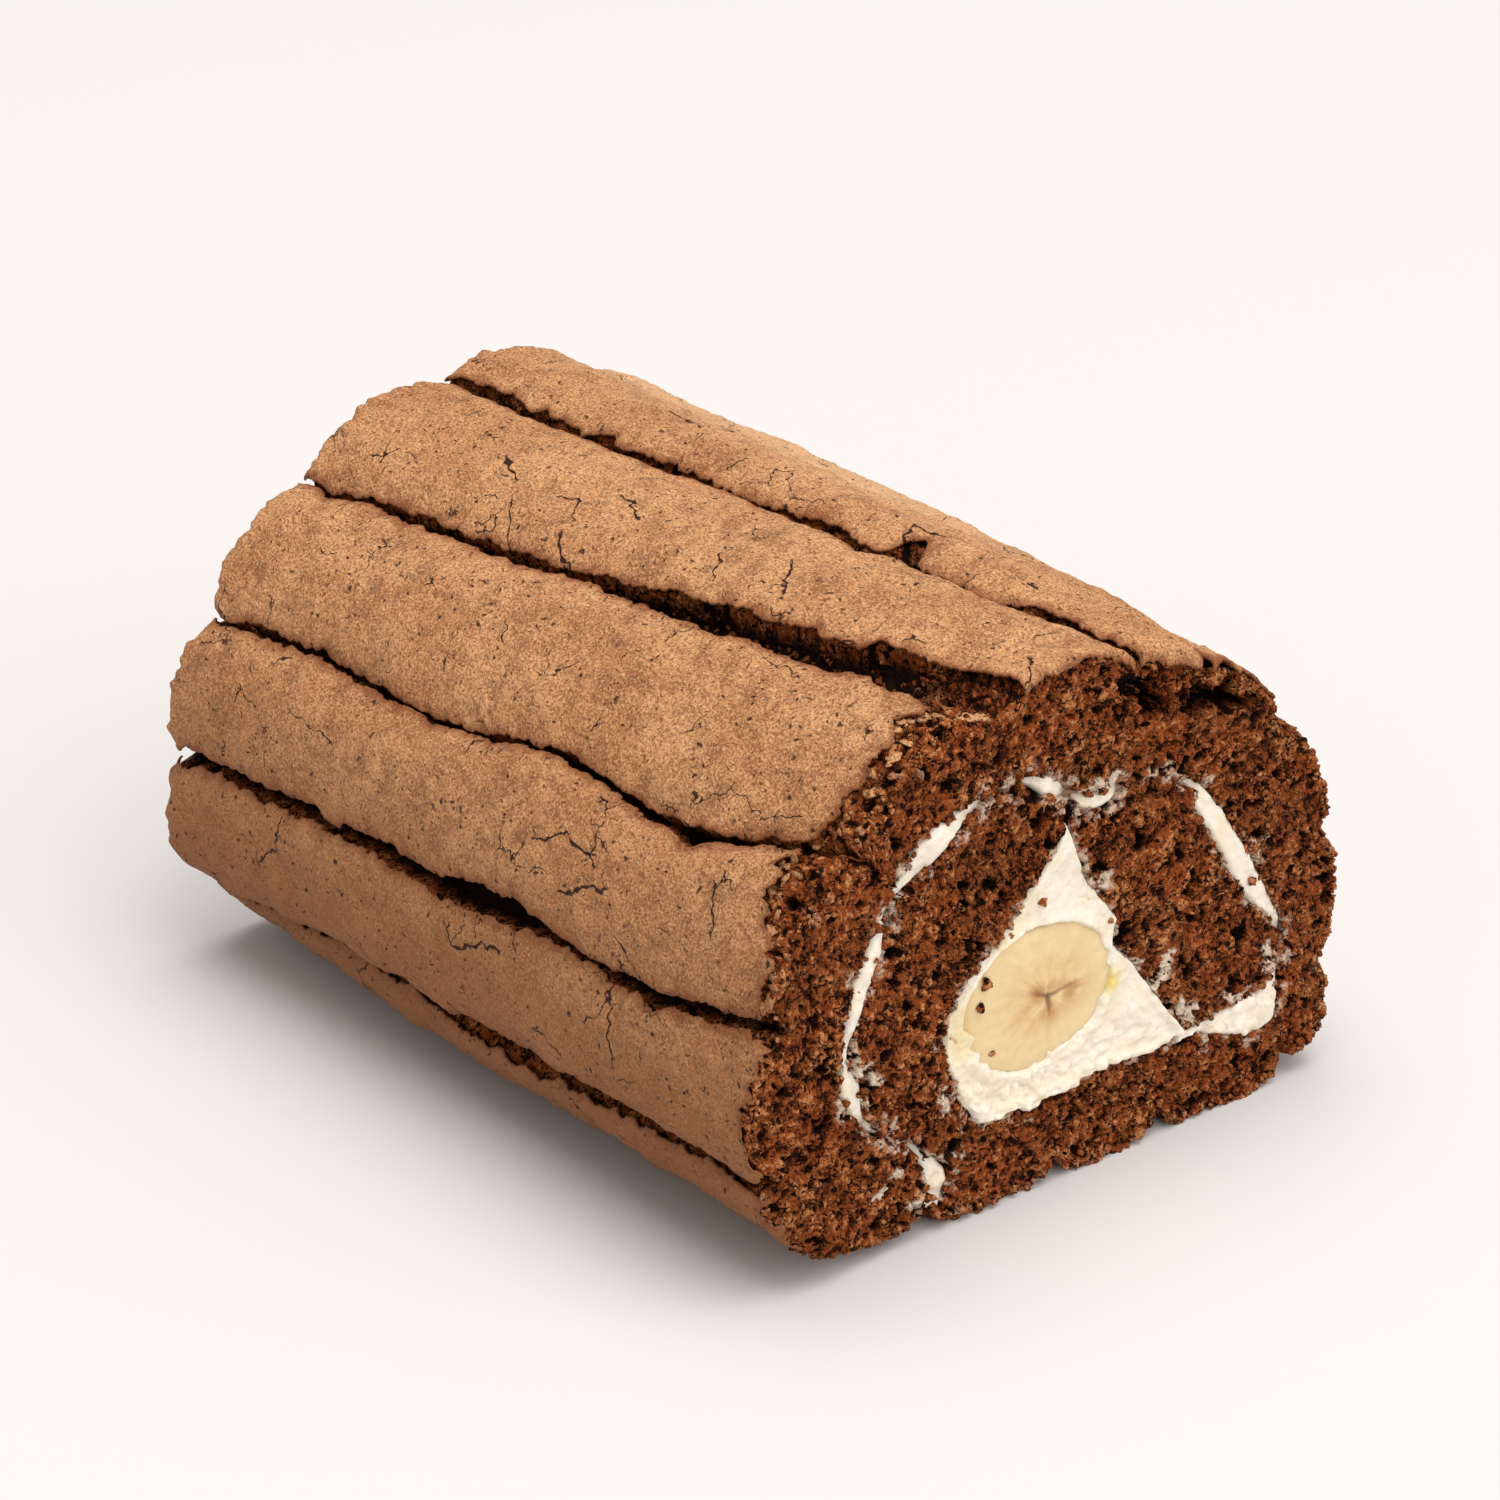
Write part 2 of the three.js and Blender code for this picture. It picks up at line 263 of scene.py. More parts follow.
# %% [markdown]
# ## Fingers
# A finger has a flat back and steep sides, which one power curve gives. The crust is a skin of
# under a millimetre, so the crumb's own surface lies that far below, and it drops further where
# the crust has split. Columns of corners are numbered by finger and share of its width, so that
# every grid follows the cracks.

# %% A finger across its width
RIB = 3
RIB_POWER = 3.4
CRUST = 0.8
CRACK = {"shallow": 2.0, "per_mm": 0.35, "deepest": 3.8, "under": 1.3, "wall": 2.2}
# Towards the near cut, torn crumb fills up the cracks, and the more so the wider they are.
FILLED = {"share": 0.65, "from": 50, "over": 16, "wide": 6}


def finger_of(column):
    """Splits a column number, such as 3.25, into finger 3 and a quarter of its width."""
    i = np.minimum(np.floor(column + 1e-9).astype(int), FINGERS - 1)
    return i, column - i


def finger_at(i, t, x):
    """The place and depth of the crust, and the way to the crack on each side."""
    start, stop = look_up(PLACE, i, x), look_up(PLACE, i + 1, x)
    swell = look_up(SWELL, i, x)
    from_middle = np.abs(2 * t - 1)
    fall = RIB * from_middle**RIB_POWER - swell * (1 - from_middle**2)
    width = stop - start
    return start + width * t, fall, width * t, width * (1 - t)


def crack_drop(i, x, way):
    """How much deeper the crumb lies at a distance from crack i."""
    opening = look_up(OPENING, i, x)
    floor = np.minimum(CRACK["shallow"] + CRACK["per_mm"] * opening, CRACK["deepest"])
    near = np.clip((x - FILLED["from"]) / FILLED["over"], 0, 1)
    floor = floor * (1 - FILLED["share"] * near * np.clip(opening / FILLED["wide"], 0, 1))
    edge = np.clip((opening / 2 + CRACK["under"] - way) / CRACK["wall"], 0, 1)
    return floor * edge * edge * (3 - 2 * edge)


def crumb_at(column, x):
    """The place on the outline and the depth of the crumb for arrays of column and x."""
    i, t = finger_of(column)
    place, fall, way, way_on = finger_at(i, t, x)
    drop = np.maximum(crack_drop(i, x, way), crack_drop(i + 1, x, way_on))
    return place, fall + CRUST + drop, drop


crest_x = np.linspace(-LENGTH / 2, LENGTH / 2, 31)
crests = []
for finger in range(FINGERS):
    place, fall, _, _ = finger_at(finger, 0.5, crest_x)
    across, _, inward, _ = on_outline(crest_x, place)
    crests.extend(across + inward * fall)
SHIFT = -(min(crests) + max(crests)) / 2
print("the cake's middle is", round(SHIFT, 2), "mm off the outline's")

# %% [markdown]
# ## From a grid to a piece
# Nearly every piece here is a sheet of fine faces pushed into shape. A grid operator makes the
# sheet, numpy works out where its corners go, and doubles are merged, so that a grid whose two
# sides meet becomes a ring. A thin piece starts as two sheets joined at the rim, which one
# extrusion makes from the flat grid while it is still easy to tell which corner is which.

# %% Grids, and from grid to object
def one_sheet(columns, rows, marks=()):
    """A flat grid: its mesh, its corners row by row, and their shares of the way each way."""
    mesh = bmesh.new()
    for name in marks:
        mesh.verts.layers.float.new(name)
    bmesh.ops.create_grid(mesh, x_segments=columns - 1, y_segments=rows - 1, size=0.5)
    corners = np.array([vert.co for vert in mesh.verts]) + 0.5
    return mesh, list(mesh.verts), corners[:, 0], corners[:, 1]


def two_sheets(columns, rows, marks=()):
    """The same grid with a copy behind it, closed round the rim, and the copy's corners in order."""
    mesh, front, a, b = one_sheet(columns, rows, marks)
    made = bmesh.ops.extrude_face_region(mesh, geom=mesh.faces[:], use_keep_orig=True)
    copies = [item for item in made["geom"] if isinstance(item, bmesh.types.BMVert)]
    behind = [None] * len(front)
    for vert in copies:
        column, row = (vert.co.x + 0.5) * (columns - 1), (vert.co.y + 0.5) * (rows - 1)
        behind[round(row) * columns + round(column)] = vert
    return mesh, front, behind, a, b


def put(verts, x, across, up):
    """Moves corners to their places, given in millimetres off the outline's middle."""
    up = np.maximum(up, 0)
    for vert, a, b, c in zip(verts, x.tolist(), across.tolist(), up.tolist()):
        vert.co = (a * MM, (b + SHIFT) * MM, c * MM)


def mark(mesh, name, verts, values):
    """Writes a number on each corner, for a material to read."""
    layer = mesh.verts.layers.float[name]
    for vert, value in zip(verts, values):
        vert[layer] = value


def close_ring(columns, *arrays):
    """Gives the last column of a grid the first one's values, so that the two sides meet exactly."""
    for array in arrays:
        rows = array.reshape(-1, columns)
        rows[:, -1] = rows[:, 0]


def make_piece(mesh, name, node, slot, finish):
    """Merges, closes and turns a mesh out, and makes it a piece that stands for a node."""
    bmesh.ops.remove_doubles(mesh, verts=mesh.verts, dist=1e-7)
    # Where a plate was bent into a ring, its two short sides have met as a wall inside it.
    walls = [face for face in mesh.faces if sum(len(edge.link_faces) > 2 for edge in face.edges) > 1]
    bmesh.ops.delete(mesh, geom=walls, context="FACES")
    holes = [edge for edge in mesh.edges if edge.is_boundary]
    if holes:
        bmesh.ops.holes_fill(mesh, edges=holes, sides=0)
    bmesh.ops.recalc_face_normals(mesh, faces=mesh.faces)
    for face in mesh.faces:
        face.smooth = True
    data = bpy.data.meshes.new(name)
    mesh.to_mesh(data)
    open_edges = sum(not edge.is_manifold for edge in mesh.edges)
    mesh.free()
    piece = bpy.data.objects.new(name, data)
    bpy.context.collection.objects.link(piece)
    data.materials.append(finish)
    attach(piece, "root")
    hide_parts(node)
    faces = sum(len(face.vertices) - 2 for face in data.polygons)
    print(f"{name}: {faces} triangles, {open_edges} open edges")
    return piece

# %% [markdown]
# ## Shader maths as plain expressions
# A material here is a small graph of nodes. Adding each Math node by hand hides what it works out,
# so a class wraps a socket and gives it the usual operators: `1 - mask * 0.5` then adds the nodes.

# %% A finish and its values
class Value:
    """A number that changes over the surface: a socket of a material, with operators."""

    def __init__(self, finish, socket):
        self.finish, self.socket = finish, socket

    def math(self, operation, *others):
        sockets = {k: item for k, item in enumerate((self, *others))}
        return self.finish.add("ShaderNodeMath", {"operation": operation}, sockets)

    def __add__(self, other):
        return self.math("ADD", other)

    def __mul__(self, other):
        return self.math("MULTIPLY", other)

    def __sub__(self, other):
        return self.math("SUBTRACT", other)

    def __rsub__(self, other):
        return self.finish.add("ShaderNodeMath", {"operation": "SUBTRACT"}, {0: other, 1: self})

    __radd__, __rmul__ = __add__, __mul__

    def most(self, other):
        return self.math("MAXIMUM", other)

    def size(self):
        return self.math("ABSOLUTE")

    def step(self, low, high):
        """Goes smoothly from 0 to 1 as the value goes from low to high."""
        sockets = {"Value": self, "From Min": low, "From Max": high}
        return self.finish.add("ShaderNodeMapRange", {"interpolation_type": "SMOOTHSTEP"}, sockets)


class Finish:
    """A material with one Principled shader, and a method that adds any other node."""

    def __init__(self, name, **uniform):
        self.material = bpy.data.materials.new(name)
        self.material.use_nodes = True
        self.tree = self.material.node_tree
        self.shader = self.tree.nodes["Principled BSDF"]
        for socket, value in uniform.items():
            self.shader.inputs[socket.replace("_", " ")].default_value = value
        self.place = self.add("ShaderNodeTexCoord", {}, {}, "Object")

    def add(self, kind, settings, sockets, result=0):
        """A node of any type: its settings first, then its sockets' values or links."""
        node = self.tree.nodes.new(kind)
        for setting, value in settings.items():
            setattr(node, setting, value)
        for socket, value in sockets.items():
            if isinstance(value, Value):
                self.tree.links.new(value.socket, node.inputs[socket])
            else:
                node.inputs[socket].default_value = value
        return Value(self, node.outputs[result])

    def noise(self, size, detail=3.0, warp=0.0):
        """Noise from 0 to 1 with features of a size in millimetres."""
        sockets = {"Vector": self.place, "Scale": 1 / (size * MM), "Detail": detail, "Distortion": warp}
        return self.add("ShaderNodeTexNoise", {}, sockets)

    def bent(self, size, by):
        """The place on the piece, pushed about by noise, so that a pattern on it loses its order."""
        sockets = {"Vector": self.place, "Scale": 1 / (size * MM), "Detail": 2.0}
        sway = self.add("ShaderNodeTexNoise", {}, sockets, 1)
        sway = self.add("ShaderNodeVectorMath", {"operation": "SCALE"}, {0: sway, "Scale": by * MM})
        return self.add("ShaderNodeVectorMath", {}, {0: self.place, 1: sway})

    def cells(self, size, feature, where):
        """Distance to points strewn about size millimetres apart, or to the edges between them."""
        sockets = {"Vector": where, "Scale": 1 / (size * MM)}
        return self.add("ShaderNodeTexVoronoi", {"feature": feature}, sockets, "Distance")

    def attribute(self, name):
        return self.add("ShaderNodeAttribute", {"attribute_name": name}, {}, "Fac")

    def mix(self, share, low, high):
        """One colour over another, by share."""
        settings = {"data_type": "RGBA", "clamp_factor": True}
        return self.add("ShaderNodeMix", settings, {0: share, 6: low, 7: high}, 2)

    def bump(self, height, distance):
        """A normal from a height of 0 to 1 that stands for a distance in millimetres."""
        sockets = {"Height": height, "Distance": distance * MM, "Strength": 1.0}
        return self.add("ShaderNodeBump", {}, sockets)

    def wear(self, **ends):
        """Links the shader's own sockets and returns the finished material."""
        for socket, value in ends.items():
            self.tree.links.new(value.socket, self.shader.inputs[socket.replace("_", " ")])
        return self.material


def colour(red, green, blue):
    """A colour as a screen shows it, 0 to 255, turned into what a shader takes."""
    shown = [channel / 255 for channel in (red, green, blue)]
    linear = [c / 12.92 if c <= 0.04045 else ((c + 0.055) / 1.055) ** 2.4 for c in shown]
    return (*linear, 1.0)


# %% [markdown]
# ## Crumb, crust, cream and banana
# Chocolate crumb is dull brown with red in it. Its colour carries painted shade, darkest down in its
# pores, and a painted highlight on the tops of its lumps, strongest on the crumbs that the knife
# dragged. The crust is a dry tan skin, mottled, with pinholes and hairline cracks far too fine to
# model, so they are colour and bump. Cream and banana let light in, which subsurface scattering does.

# %% The crumb's finish
CRUMB = {
    "plain": colour(134, 70, 31),
    "red": colour(142, 68, 28),
    # The next two are a painted highlight on the tops of lumps and painted shade in low spots.
    "light": colour(202, 136, 86),
    "dark": colour(52, 20, 6),
    # Painted shade, for pores, caverns and the floors of cracks.
    "pore_shade": colour(24, 6, 1),
    "creamy": colour(226, 204, 182),
}


def crumb_finish():
    finish = Finish("chocolate_crumb", Roughness=0.8, Specular_IOR_Level=0.1)
    pore_shade, rise, smear = (finish.attribute(name) for name in ("pore_shade", "rise", "smear"))
    patches, mottle = finish.noise(8), finish.noise(2.4, 4)
    fine, bent = finish.noise(0.35, 3), finish.bent(1.2, 1.3)
    grain = finish.noise(0.75, 4, 0.5)
    base = finish.mix(patches.step(0.35, 0.65), CRUMB["plain"], CRUMB["red"])
    # Painted highlight where the relief rises and painted shade where it falls, mixed with the crumb's own
    # random grain.
    height = rise * 0.8 + (mottle - 0.5) * 0.9 + (grain - 0.5) * 2.6 + (fine - 0.5) * 1.4
    base = finish.mix(height.step(0.05, 0.75) * 0.9, base, CRUMB["light"])
    base = finish.mix(height.step(-0.1, -0.7) * 0.9, base, CRUMB["dark"])
    veil = smear * (mottle + smear * 0.12).step(0.38, 0.6) * (height + smear * 0.3).step(-0.35, 0.3)
    base = finish.mix(veil * 0.75, base, CRUMB["creamy"])
    # Pores too fine for the mesh and the gaps between grains are painted shade, and so are the pores that
    # the mesh marks.
    gap = finish.cells(1.5, "DISTANCE_TO_EDGE", bent).step(0.1, 0.0) * finish.noise(2.1).step(0.46, 0.6)
    pit = finish.cells(1.0, "F1", bent).step(0.36, 0.2) * finish.noise(1.6).step(0.44, 0.56)
    hole = finish.cells(2.3, "F1", bent).step(0.3, 0.2) * finish.noise(3.4).step(0.46, 0.54)
    speck = finish.cells(0.6, "F1", bent).step(0.36, 0.2) * finish.noise(1.1).step(0.5, 0.62) * 0.65
    hollow = gap.most(pit).most(hole).most(speck) * (1 - smear * 0.5)
    base = finish.mix((pore_shade + hollow * 0.85).step(0.08, 0.8), base, CRUMB["pore_shade"])
    relief = grain * 1.1 + fine * 0.3 - hollow * 0.8
    return finish.wear(Base_Color=base, Normal=finish.bump(relief, 0.7))


crumb = crumb_finish()

# %% [markdown]
# The crust is baked unevenly, so browner and paler grains of several sizes lie over its tan. Its
# fine cracks come from two sources: a sparse craze all over, and the hairlines that each plate
# carries as an attribute.

# %% The crust's finish
CRUST_TANS = {
    "light": colour(214, 157, 107),
    "plain": colour(197, 138, 90),
    "brown": colour(132, 82, 48),
    "rust": colour(124, 62, 26),
    "ash": colour(102, 82, 71),
    "flour": colour(228, 182, 134),
    "pale": colour(238, 196, 152),
    "dark": colour(50, 20, 8),
}


def crust_finish():
    finish = Finish("baked_crust", Roughness=0.75, Specular_IOR_Level=0.25)
    edge, tear, tear_end = (finish.attribute(name) for name in ("edge", "tear", "tear_end"))
    patches, mottle = finish.noise(16, 4), finish.noise(4.5, 5, 0.6)
    coarse, grain, fine = finish.noise(0.9, 2), finish.noise(0.42, 3), finish.noise(0.2, 2)
    base = finish.mix(patches.step(0.36, 0.66), CRUST_TANS["plain"], CRUST_TANS["light"])
    base = finish.mix(mottle.step(0.52, 0.34) * 0.5, base, CRUST_TANS["brown"])
    base = finish.mix(finish.noise(9, 4, 0.8).step(0.55, 0.72) * 0.45, base, CRUST_TANS["brown"])
    base = finish.mix(coarse.step(0.5, 0.34) * 0.35, base, CRUST_TANS["brown"])
    base = finish.mix(grain.step(0.52, 0.68) * 0.7, base, CRUST_TANS["flour"])
    base = finish.mix(grain.step(0.5, 0.36) * 0.7, base, CRUST_TANS["brown"])
    base = finish.mix(fine.step(0.44, 0.3) * 0.8, base, CRUST_TANS["rust"])
    base = finish.mix(finish.noise(6, 3).step(0.68, 0.78) * 0.6, base, CRUST_TANS["ash"])
    base = finish.mix((edge + mottle * 2.4).step(3.2, 0.8) * 0.8, base, CRUST_TANS["rust"])
    # Painted shade darkens the crust towards the foot.
    ahead, across, up = (finish.add("ShaderNodeSeparateXYZ", {}, {0: finish.place}, k) for k in range(3))
    base = finish.mix(up.step(0.082, 0.0) * 0.93, base, CRUST_TANS["brown"])
    # Painted light: the top of the back is paler on its far half.
    back = across.step(0.008, 0.03) * up.step(0.05, 0.078) * ahead.step(0.045, 0.0)
    base = finish.mix(back * 0.42, base, CRUST_TANS["pale"])
    bent = finish.bent(2.5, 3.4)
    pinhole = finish.cells(2.2, "F1", bent).step(0.19, 0.08) * finish.noise(5).step(0.4, 0.55) * 0.9
    speck = finish.cells(1.1, "F1", bent).step(0.22, 0.1) * finish.noise(3).step(0.44, 0.58) * 0.6
    craze = finish.cells(11, "DISTANCE_TO_EDGE", bent).step(0.012, 0.004) * finish.noise(8).step(0.56, 0.62)
    drawn = (tear.size() + finish.noise(1.8) * 0.3).step(0.42, 0.24) * tear_end.step(0.8, 0.0)
    split = craze.most(drawn).most(pinhole).most(speck)
    base = finish.mix(split, base, CRUST_TANS["dark"])
    relief = coarse * 0.5 + grain * 0.4 + mottle * 0.9 + fine * 0.2 - split * 0.9
    return finish.wear(Base_Color=base, Normal=finish.bump(relief, 0.8))


crust = crust_finish()

# %% [markdown]
# Cream is a warm white, stained by crumb at its edges. Banana has rays that run from its core to its
# rim, so its noise is stretched along them, by attributes that the mesh carries.

# %% The filling's finishes
CREAM_WHITES = {
    "plain": colour(238, 227, 211),
    "warm": colour(234, 220, 196),
    "crumb": colour(150, 92, 56),
    "tinted": colour(226, 202, 112),
}
BANANA_TONES = {
    "flesh": colour(224, 194, 142),
    "edge": colour(230, 206, 158),
    "streak": colour(206, 166, 104),
    "core": colour(108, 56, 26),
    "lobe": colour(172, 112, 36),
    "peel_side": colour(206, 180, 116),
}


def cream_finish():
    finish = Finish("whipped_cream", Roughness=0.5, Subsurface_Weight=0.3, Subsurface_Scale=0.0015,
                    Subsurface_Radius=(1.0, 0.8, 0.6))
    patches, grain = finish.noise(4, 3), finish.noise(0.9, 4)
    base = finish.mix(patches.step(0.4, 0.66), CREAM_WHITES["plain"], CREAM_WHITES["warm"])
    # Tinted by banana juice, and on the upper lobe's slope a warm painted shade.
    base = finish.mix(finish.attribute("tint"), base, CREAM_WHITES["tinted"])
    stain = finish.noise(2.2, 3).step(0.66, 0.74) * finish.attribute("smear") * 0.7
    base = finish.mix(stain, base, CREAM_WHITES["crumb"])
    relief = finish.noise(3.0, 3) * 0.75 + grain * 0.5
    return finish.wear(Base_Color=base, Normal=finish.bump(relief, 0.5))


def banana_finish():
    finish = Finish("banana_flesh", Roughness=0.42, Subsurface_Weight=0.35, Subsurface_Scale=0.003,
                    Subsurface_Radius=(1.0, 0.75, 0.45))
    names = ("ray_across", "ray_up", "reach", "core", "lobe")
    ray_across, ray_up, reach, core, lobe = (finish.attribute(name) for name in names)
    sockets = {"X": ray_across * 3, "Y": ray_up * 3, "Z": reach * 1.1}
    across_rays = finish.add("ShaderNodeCombineXYZ", {}, sockets)
    streaks = finish.add("ShaderNodeTexNoise", {}, {"Vector": across_rays, "Scale": 1.6, "Detail": 4.0})
    cloud = finish.noise(3.2, 3)
    base = finish.mix(streaks.step(0.46, 0.66) * 0.35, BANANA_TONES["flesh"], BANANA_TONES["streak"])
    base = finish.mix(streaks.step(0.48, 0.34) * 0.35, base, BANANA_TONES["edge"])
    base = finish.mix(cloud.step(0.48, 0.7) * 0.3, base, BANANA_TONES["streak"])
    base = finish.mix((reach + (cloud - 0.5) * 0.6).step(0.4, 0.75) * 0.6, base, BANANA_TONES["edge"])
    base = finish.mix(reach.step(0.95, 1.0) * 0.35, base, BANANA_TONES["peel_side"])
    base = finish.mix(lobe * cloud.step(0.3, 0.55) * 0.9, base, BANANA_TONES["lobe"])
    base = finish.mix(core.step(0.25, 1.0) * 0.9, base, BANANA_TONES["core"])
    relief = streaks * 0.7 + finish.noise(0.8, 3) * 0.3
    return finish.wear(Base_Color=base, Normal=finish.bump(relief, 0.25))


cream, banana = cream_finish(), banana_finish()
print("finishes:", [finish.name for finish in bpy.data.materials if finish.use_nodes])

# %% [markdown]
# ## Crumb
# Baked crumb is a foam: small rounded lumps with pores between them, and now and then a hole. As a
# shape that is lumps from a Voronoi pattern, a little noise, and pits wherever a chance number of
# the nearest cell says so. The pits are real hollows in the mesh, since a bump would cast no shadow,
# and how deep each corner lies is kept as an attribute, so that the material can paint shade into
# the pores.

# %% Relief of broken crumb
LUMP = {"apart": 1.5, "height": 0.8}
SWAY = {"apart": 1.3, "by": 1.2, "seed": 1795345799}
GRAIN = ((0.5, 3.3), (0.4, 1.6), (0.45, 0.85))  # height and size
# Painted shade: a pore this deep gets the darkest.
DARK_AT = 1.4  # a pore this deep is as dark as it gets
CRACK_SHADE = {"most": 0.75, "over": (0.5, 3)}
PORES = [
    {"apart": 1.8, "chance": 0.55, "radius": (0.35, 0.75), "depth": 1.3},
    {"apart": 3.4, "chance": 0.5, "radius": (0.55, 1.15), "depth": 2.2},
    {"apart": 8.0, "chance": 0.45, "radius": (0.9, 1.7), "depth": 3.0},
]


# Without a seed, noise_vector starts from the clock and the crumb is another one in every run.
noise.seed_set(SWAY["seed"])


def crumb_relief(points):
    """How far crumb stands out at each point, in millimetres, and how much painted shade each gets from
    lying in a pore.
    """
    height, pore_shade = [], []
    for point in points.tolist():
        at = Vector(point)
        at += SWAY["by"] * noise.noise_vector(at / SWAY["apart"])
        near, _ = noise.voronoi(at / LUMP["apart"])
        rise = LUMP["height"] * (0.5 - near[0])
        rise += sum(tall * noise.noise(at / size) for tall, size in GRAIN)
        deepest = 0
        for kind in PORES:
            near, cells = noise.voronoi(at / kind["apart"])
            luck = 0.5 + 0.5 * noise.cell(cells[0] * 37.7)
            if luck < kind["chance"]:
                smallest, largest = kind["radius"]
                radius = smallest + (largest - smallest) * luck / kind["chance"]
                inside = min(1, max(0, 2 - 1.6 * near[0] * kind["apart"] / radius))
                deepest = max(deepest, inside * kind["depth"] * (0.5 + 0.5 * radius / largest))
        height.append(rise - deepest)
        pore_shade.append(min(1, deepest / DARK_AT))
    return np.array(height), np.array(pore_shade)


def smooth_step(low, high, value):
    """0 below low, 1 above high and an even slope between."""
    t = np.clip((value - low) / (high - low), 0, 1)
    return t * t * (3 - 2 * t)


def noise_at(size, seed, *coordinates):
    """Noise from about -1 to 1 for arrays of one to three coordinates in millimetres."""
    rows = [row / size for row in coordinates] + [seed * 3.17] * (3 - len(coordinates))
    points = np.stack(np.broadcast_arrays(*rows), -1).reshape(-1, 3)
    return 2 * np.array([noise.noise(point) for point in points.tolist()])


def rough(parts, *coordinates, seed=0):
    """Noise of several sizes added up, from the height, size and seed of each."""
    return sum(height * noise_at(size, seed + own, *coordinates) for height, size, own in parts)


def crack_shade(drop):
    """How much painted shade darkens the crumb at the bottom of a crack, from how far it lies below its
    usual depth.
    """
    return CRACK_SHADE["most"] * smooth_step(*CRACK_SHADE["over"], drop)


print("pores about", [kind["apart"] for kind in PORES], "mm apart")

# %% [markdown]
# ## Where the crust ends
# At each cut the knife tore the crust, so it stops a little short of the cut in most places and
# hangs over it in a few. The end is a curve through places round the outline with ragged noise on
# it, and it is needed by the crust and by the crumb, which is smooth only where crust covers it.

# %% The crust's end at each cut
# X of it at the near cut, by place round the outline.
NEAR_ENDS = {
    -55: 72, -50: 74, -45: 75.2, -40: 75, -34: 74.4, -31: 76.2, -28: 77, -24: 77.2, -20: 77.6,
    -17: 77, -14: 76.2, -10: 76.6, -5: 76, 0: 76.4, 3: 76.8, 6: 76.2, 10: 76.8, 12.5: 78.5,
    15.5: 79, 17: 71, 26: 66, 28: 68.5, 35: 69.5, 42: 70, 45.5: 70, 47.5: 66, 52: 66.5, 57: 69.5,
    62: 71.2, 66: 71.5, 72: 72.5, 80: 74.6, 90: 75.5, 98: 76.8, 104: 74.4, 110: 74.6, 118: 75,
    124: 73, 130: 70.5, 150: 70, 200: 71, 240: 71, 312: 71,
}
FAR_END = {"x": -75.3, "ragged": 0.3}
END_NOISE = ((1.0, 3.2, 0), (0.55, 1.1, 5), (0.3, 0.5, 9))
# Crust that hangs over the cut ends smoothly, and on the flank it breaks off in lobes.
HANGING = {"from": (75.4, 76.8), "smoother": 0.75}
LOBES = {"noise": ((1.9, 6.0, 13), (0.9, 2.8, 17)), "shorter": 0.9, "begin": (38, 50), "stop": (122, 108)}
UNDER_CRUST = {"relief": 0.15, "lower": 0.35}
# How far from a crack and from its end crust begins to cover the crumb.
COVER = {"crack": (0, 1.2), "end": (0.4, 1.6)}
# At the foot of the near cut the bare crumb squeezes out past the crust's outline.
FOOT = {"place": 125, "half": 6, "by": 3.6, "from": 68, "past": 1.8, "deep": (9, 3)}
LEAST_DEPTH = 0.3


def near_end(place):
    """X of the crust's end at the near cut, before anything ragged."""
    return np.interp(place, list(NEAR_ENDS), list(NEAR_ENDS.values()))


def crust_end(place, side):
    """X of the crust's end at places round the outline; side is 1 at the near cut, -1 at the far."""
    ragged = rough(END_NOISE, place, seed=side)
    if side < 0:
        return FAR_END["x"] + FAR_END["ragged"] * ragged
    end = near_end(place)
    on_flank = smooth_step(*LOBES["begin"], place) * smooth_step(*LOBES["stop"], place)
    lobes = rough(LOBES["noise"], place, seed=side) - LOBES["shorter"]
    return end + ragged * (1 - HANGING["smoother"] * smooth_step(*HANGING["from"], end)) + lobes * on_flank


def covered(column, x, place):
    """1 where crust lies over the crumb and 0 where it doesn't."""
    i, t = finger_of(column)
    _, _, way, way_on = finger_at(i, t, x)
    side = smooth_step(*COVER["crack"], way - look_up(OPENING, i, x) / 2)
    side_on = smooth_step(*COVER["crack"], way_on - look_up(OPENING, i + 1, x) / 2)
    near, far = crust_end(place, 1) - x, x - crust_end(place, -1)
    return side * side_on * smooth_step(*COVER["end"], near) * smooth_step(*COVER["end"], far)


def by_foot(place):
    """1 at the foot of the near cut and fading round the outline from there."""
    return np.exp(-(((place - FOOT["place"]) / FOOT["half"]) ** 2))


def skin_of_crumb(column, x):
    """The crumb's own surface under the outline, before the relief of its pores."""
    place, depth, drop = crumb_at(column, x)
    cover = covered(column, x, place)
    bulge = FOOT["by"] * by_foot(place)
    depth = np.maximum(depth - bulge * smooth_step(FOOT["from"], FOOT["from"] + 3, x), LEAST_DEPTH)
    across, up, inward, inward_up = on_outline(x, place)
    return {"across": across, "up": up, "inward": inward, "inward_up": inward_up,
            "depth": depth + cover * UNDER_CRUST["lower"], "cover": cover, "drop": drop}


# %% [markdown]
# ## The sponge between the cuts
# Between the cuts the crumb shows only in the cracks, so the sponge there is one ring of columns
# that stand close together at each crack and wide apart under the crust. The two cuts are pieces of
# their own, with even columns, and overlap this one by a few millimetres inside.

# %% Sponge body
BODY = {"from": -68.0, "to": 62.0, "columns": 28, "rows": 236, "crowd": 0.78}

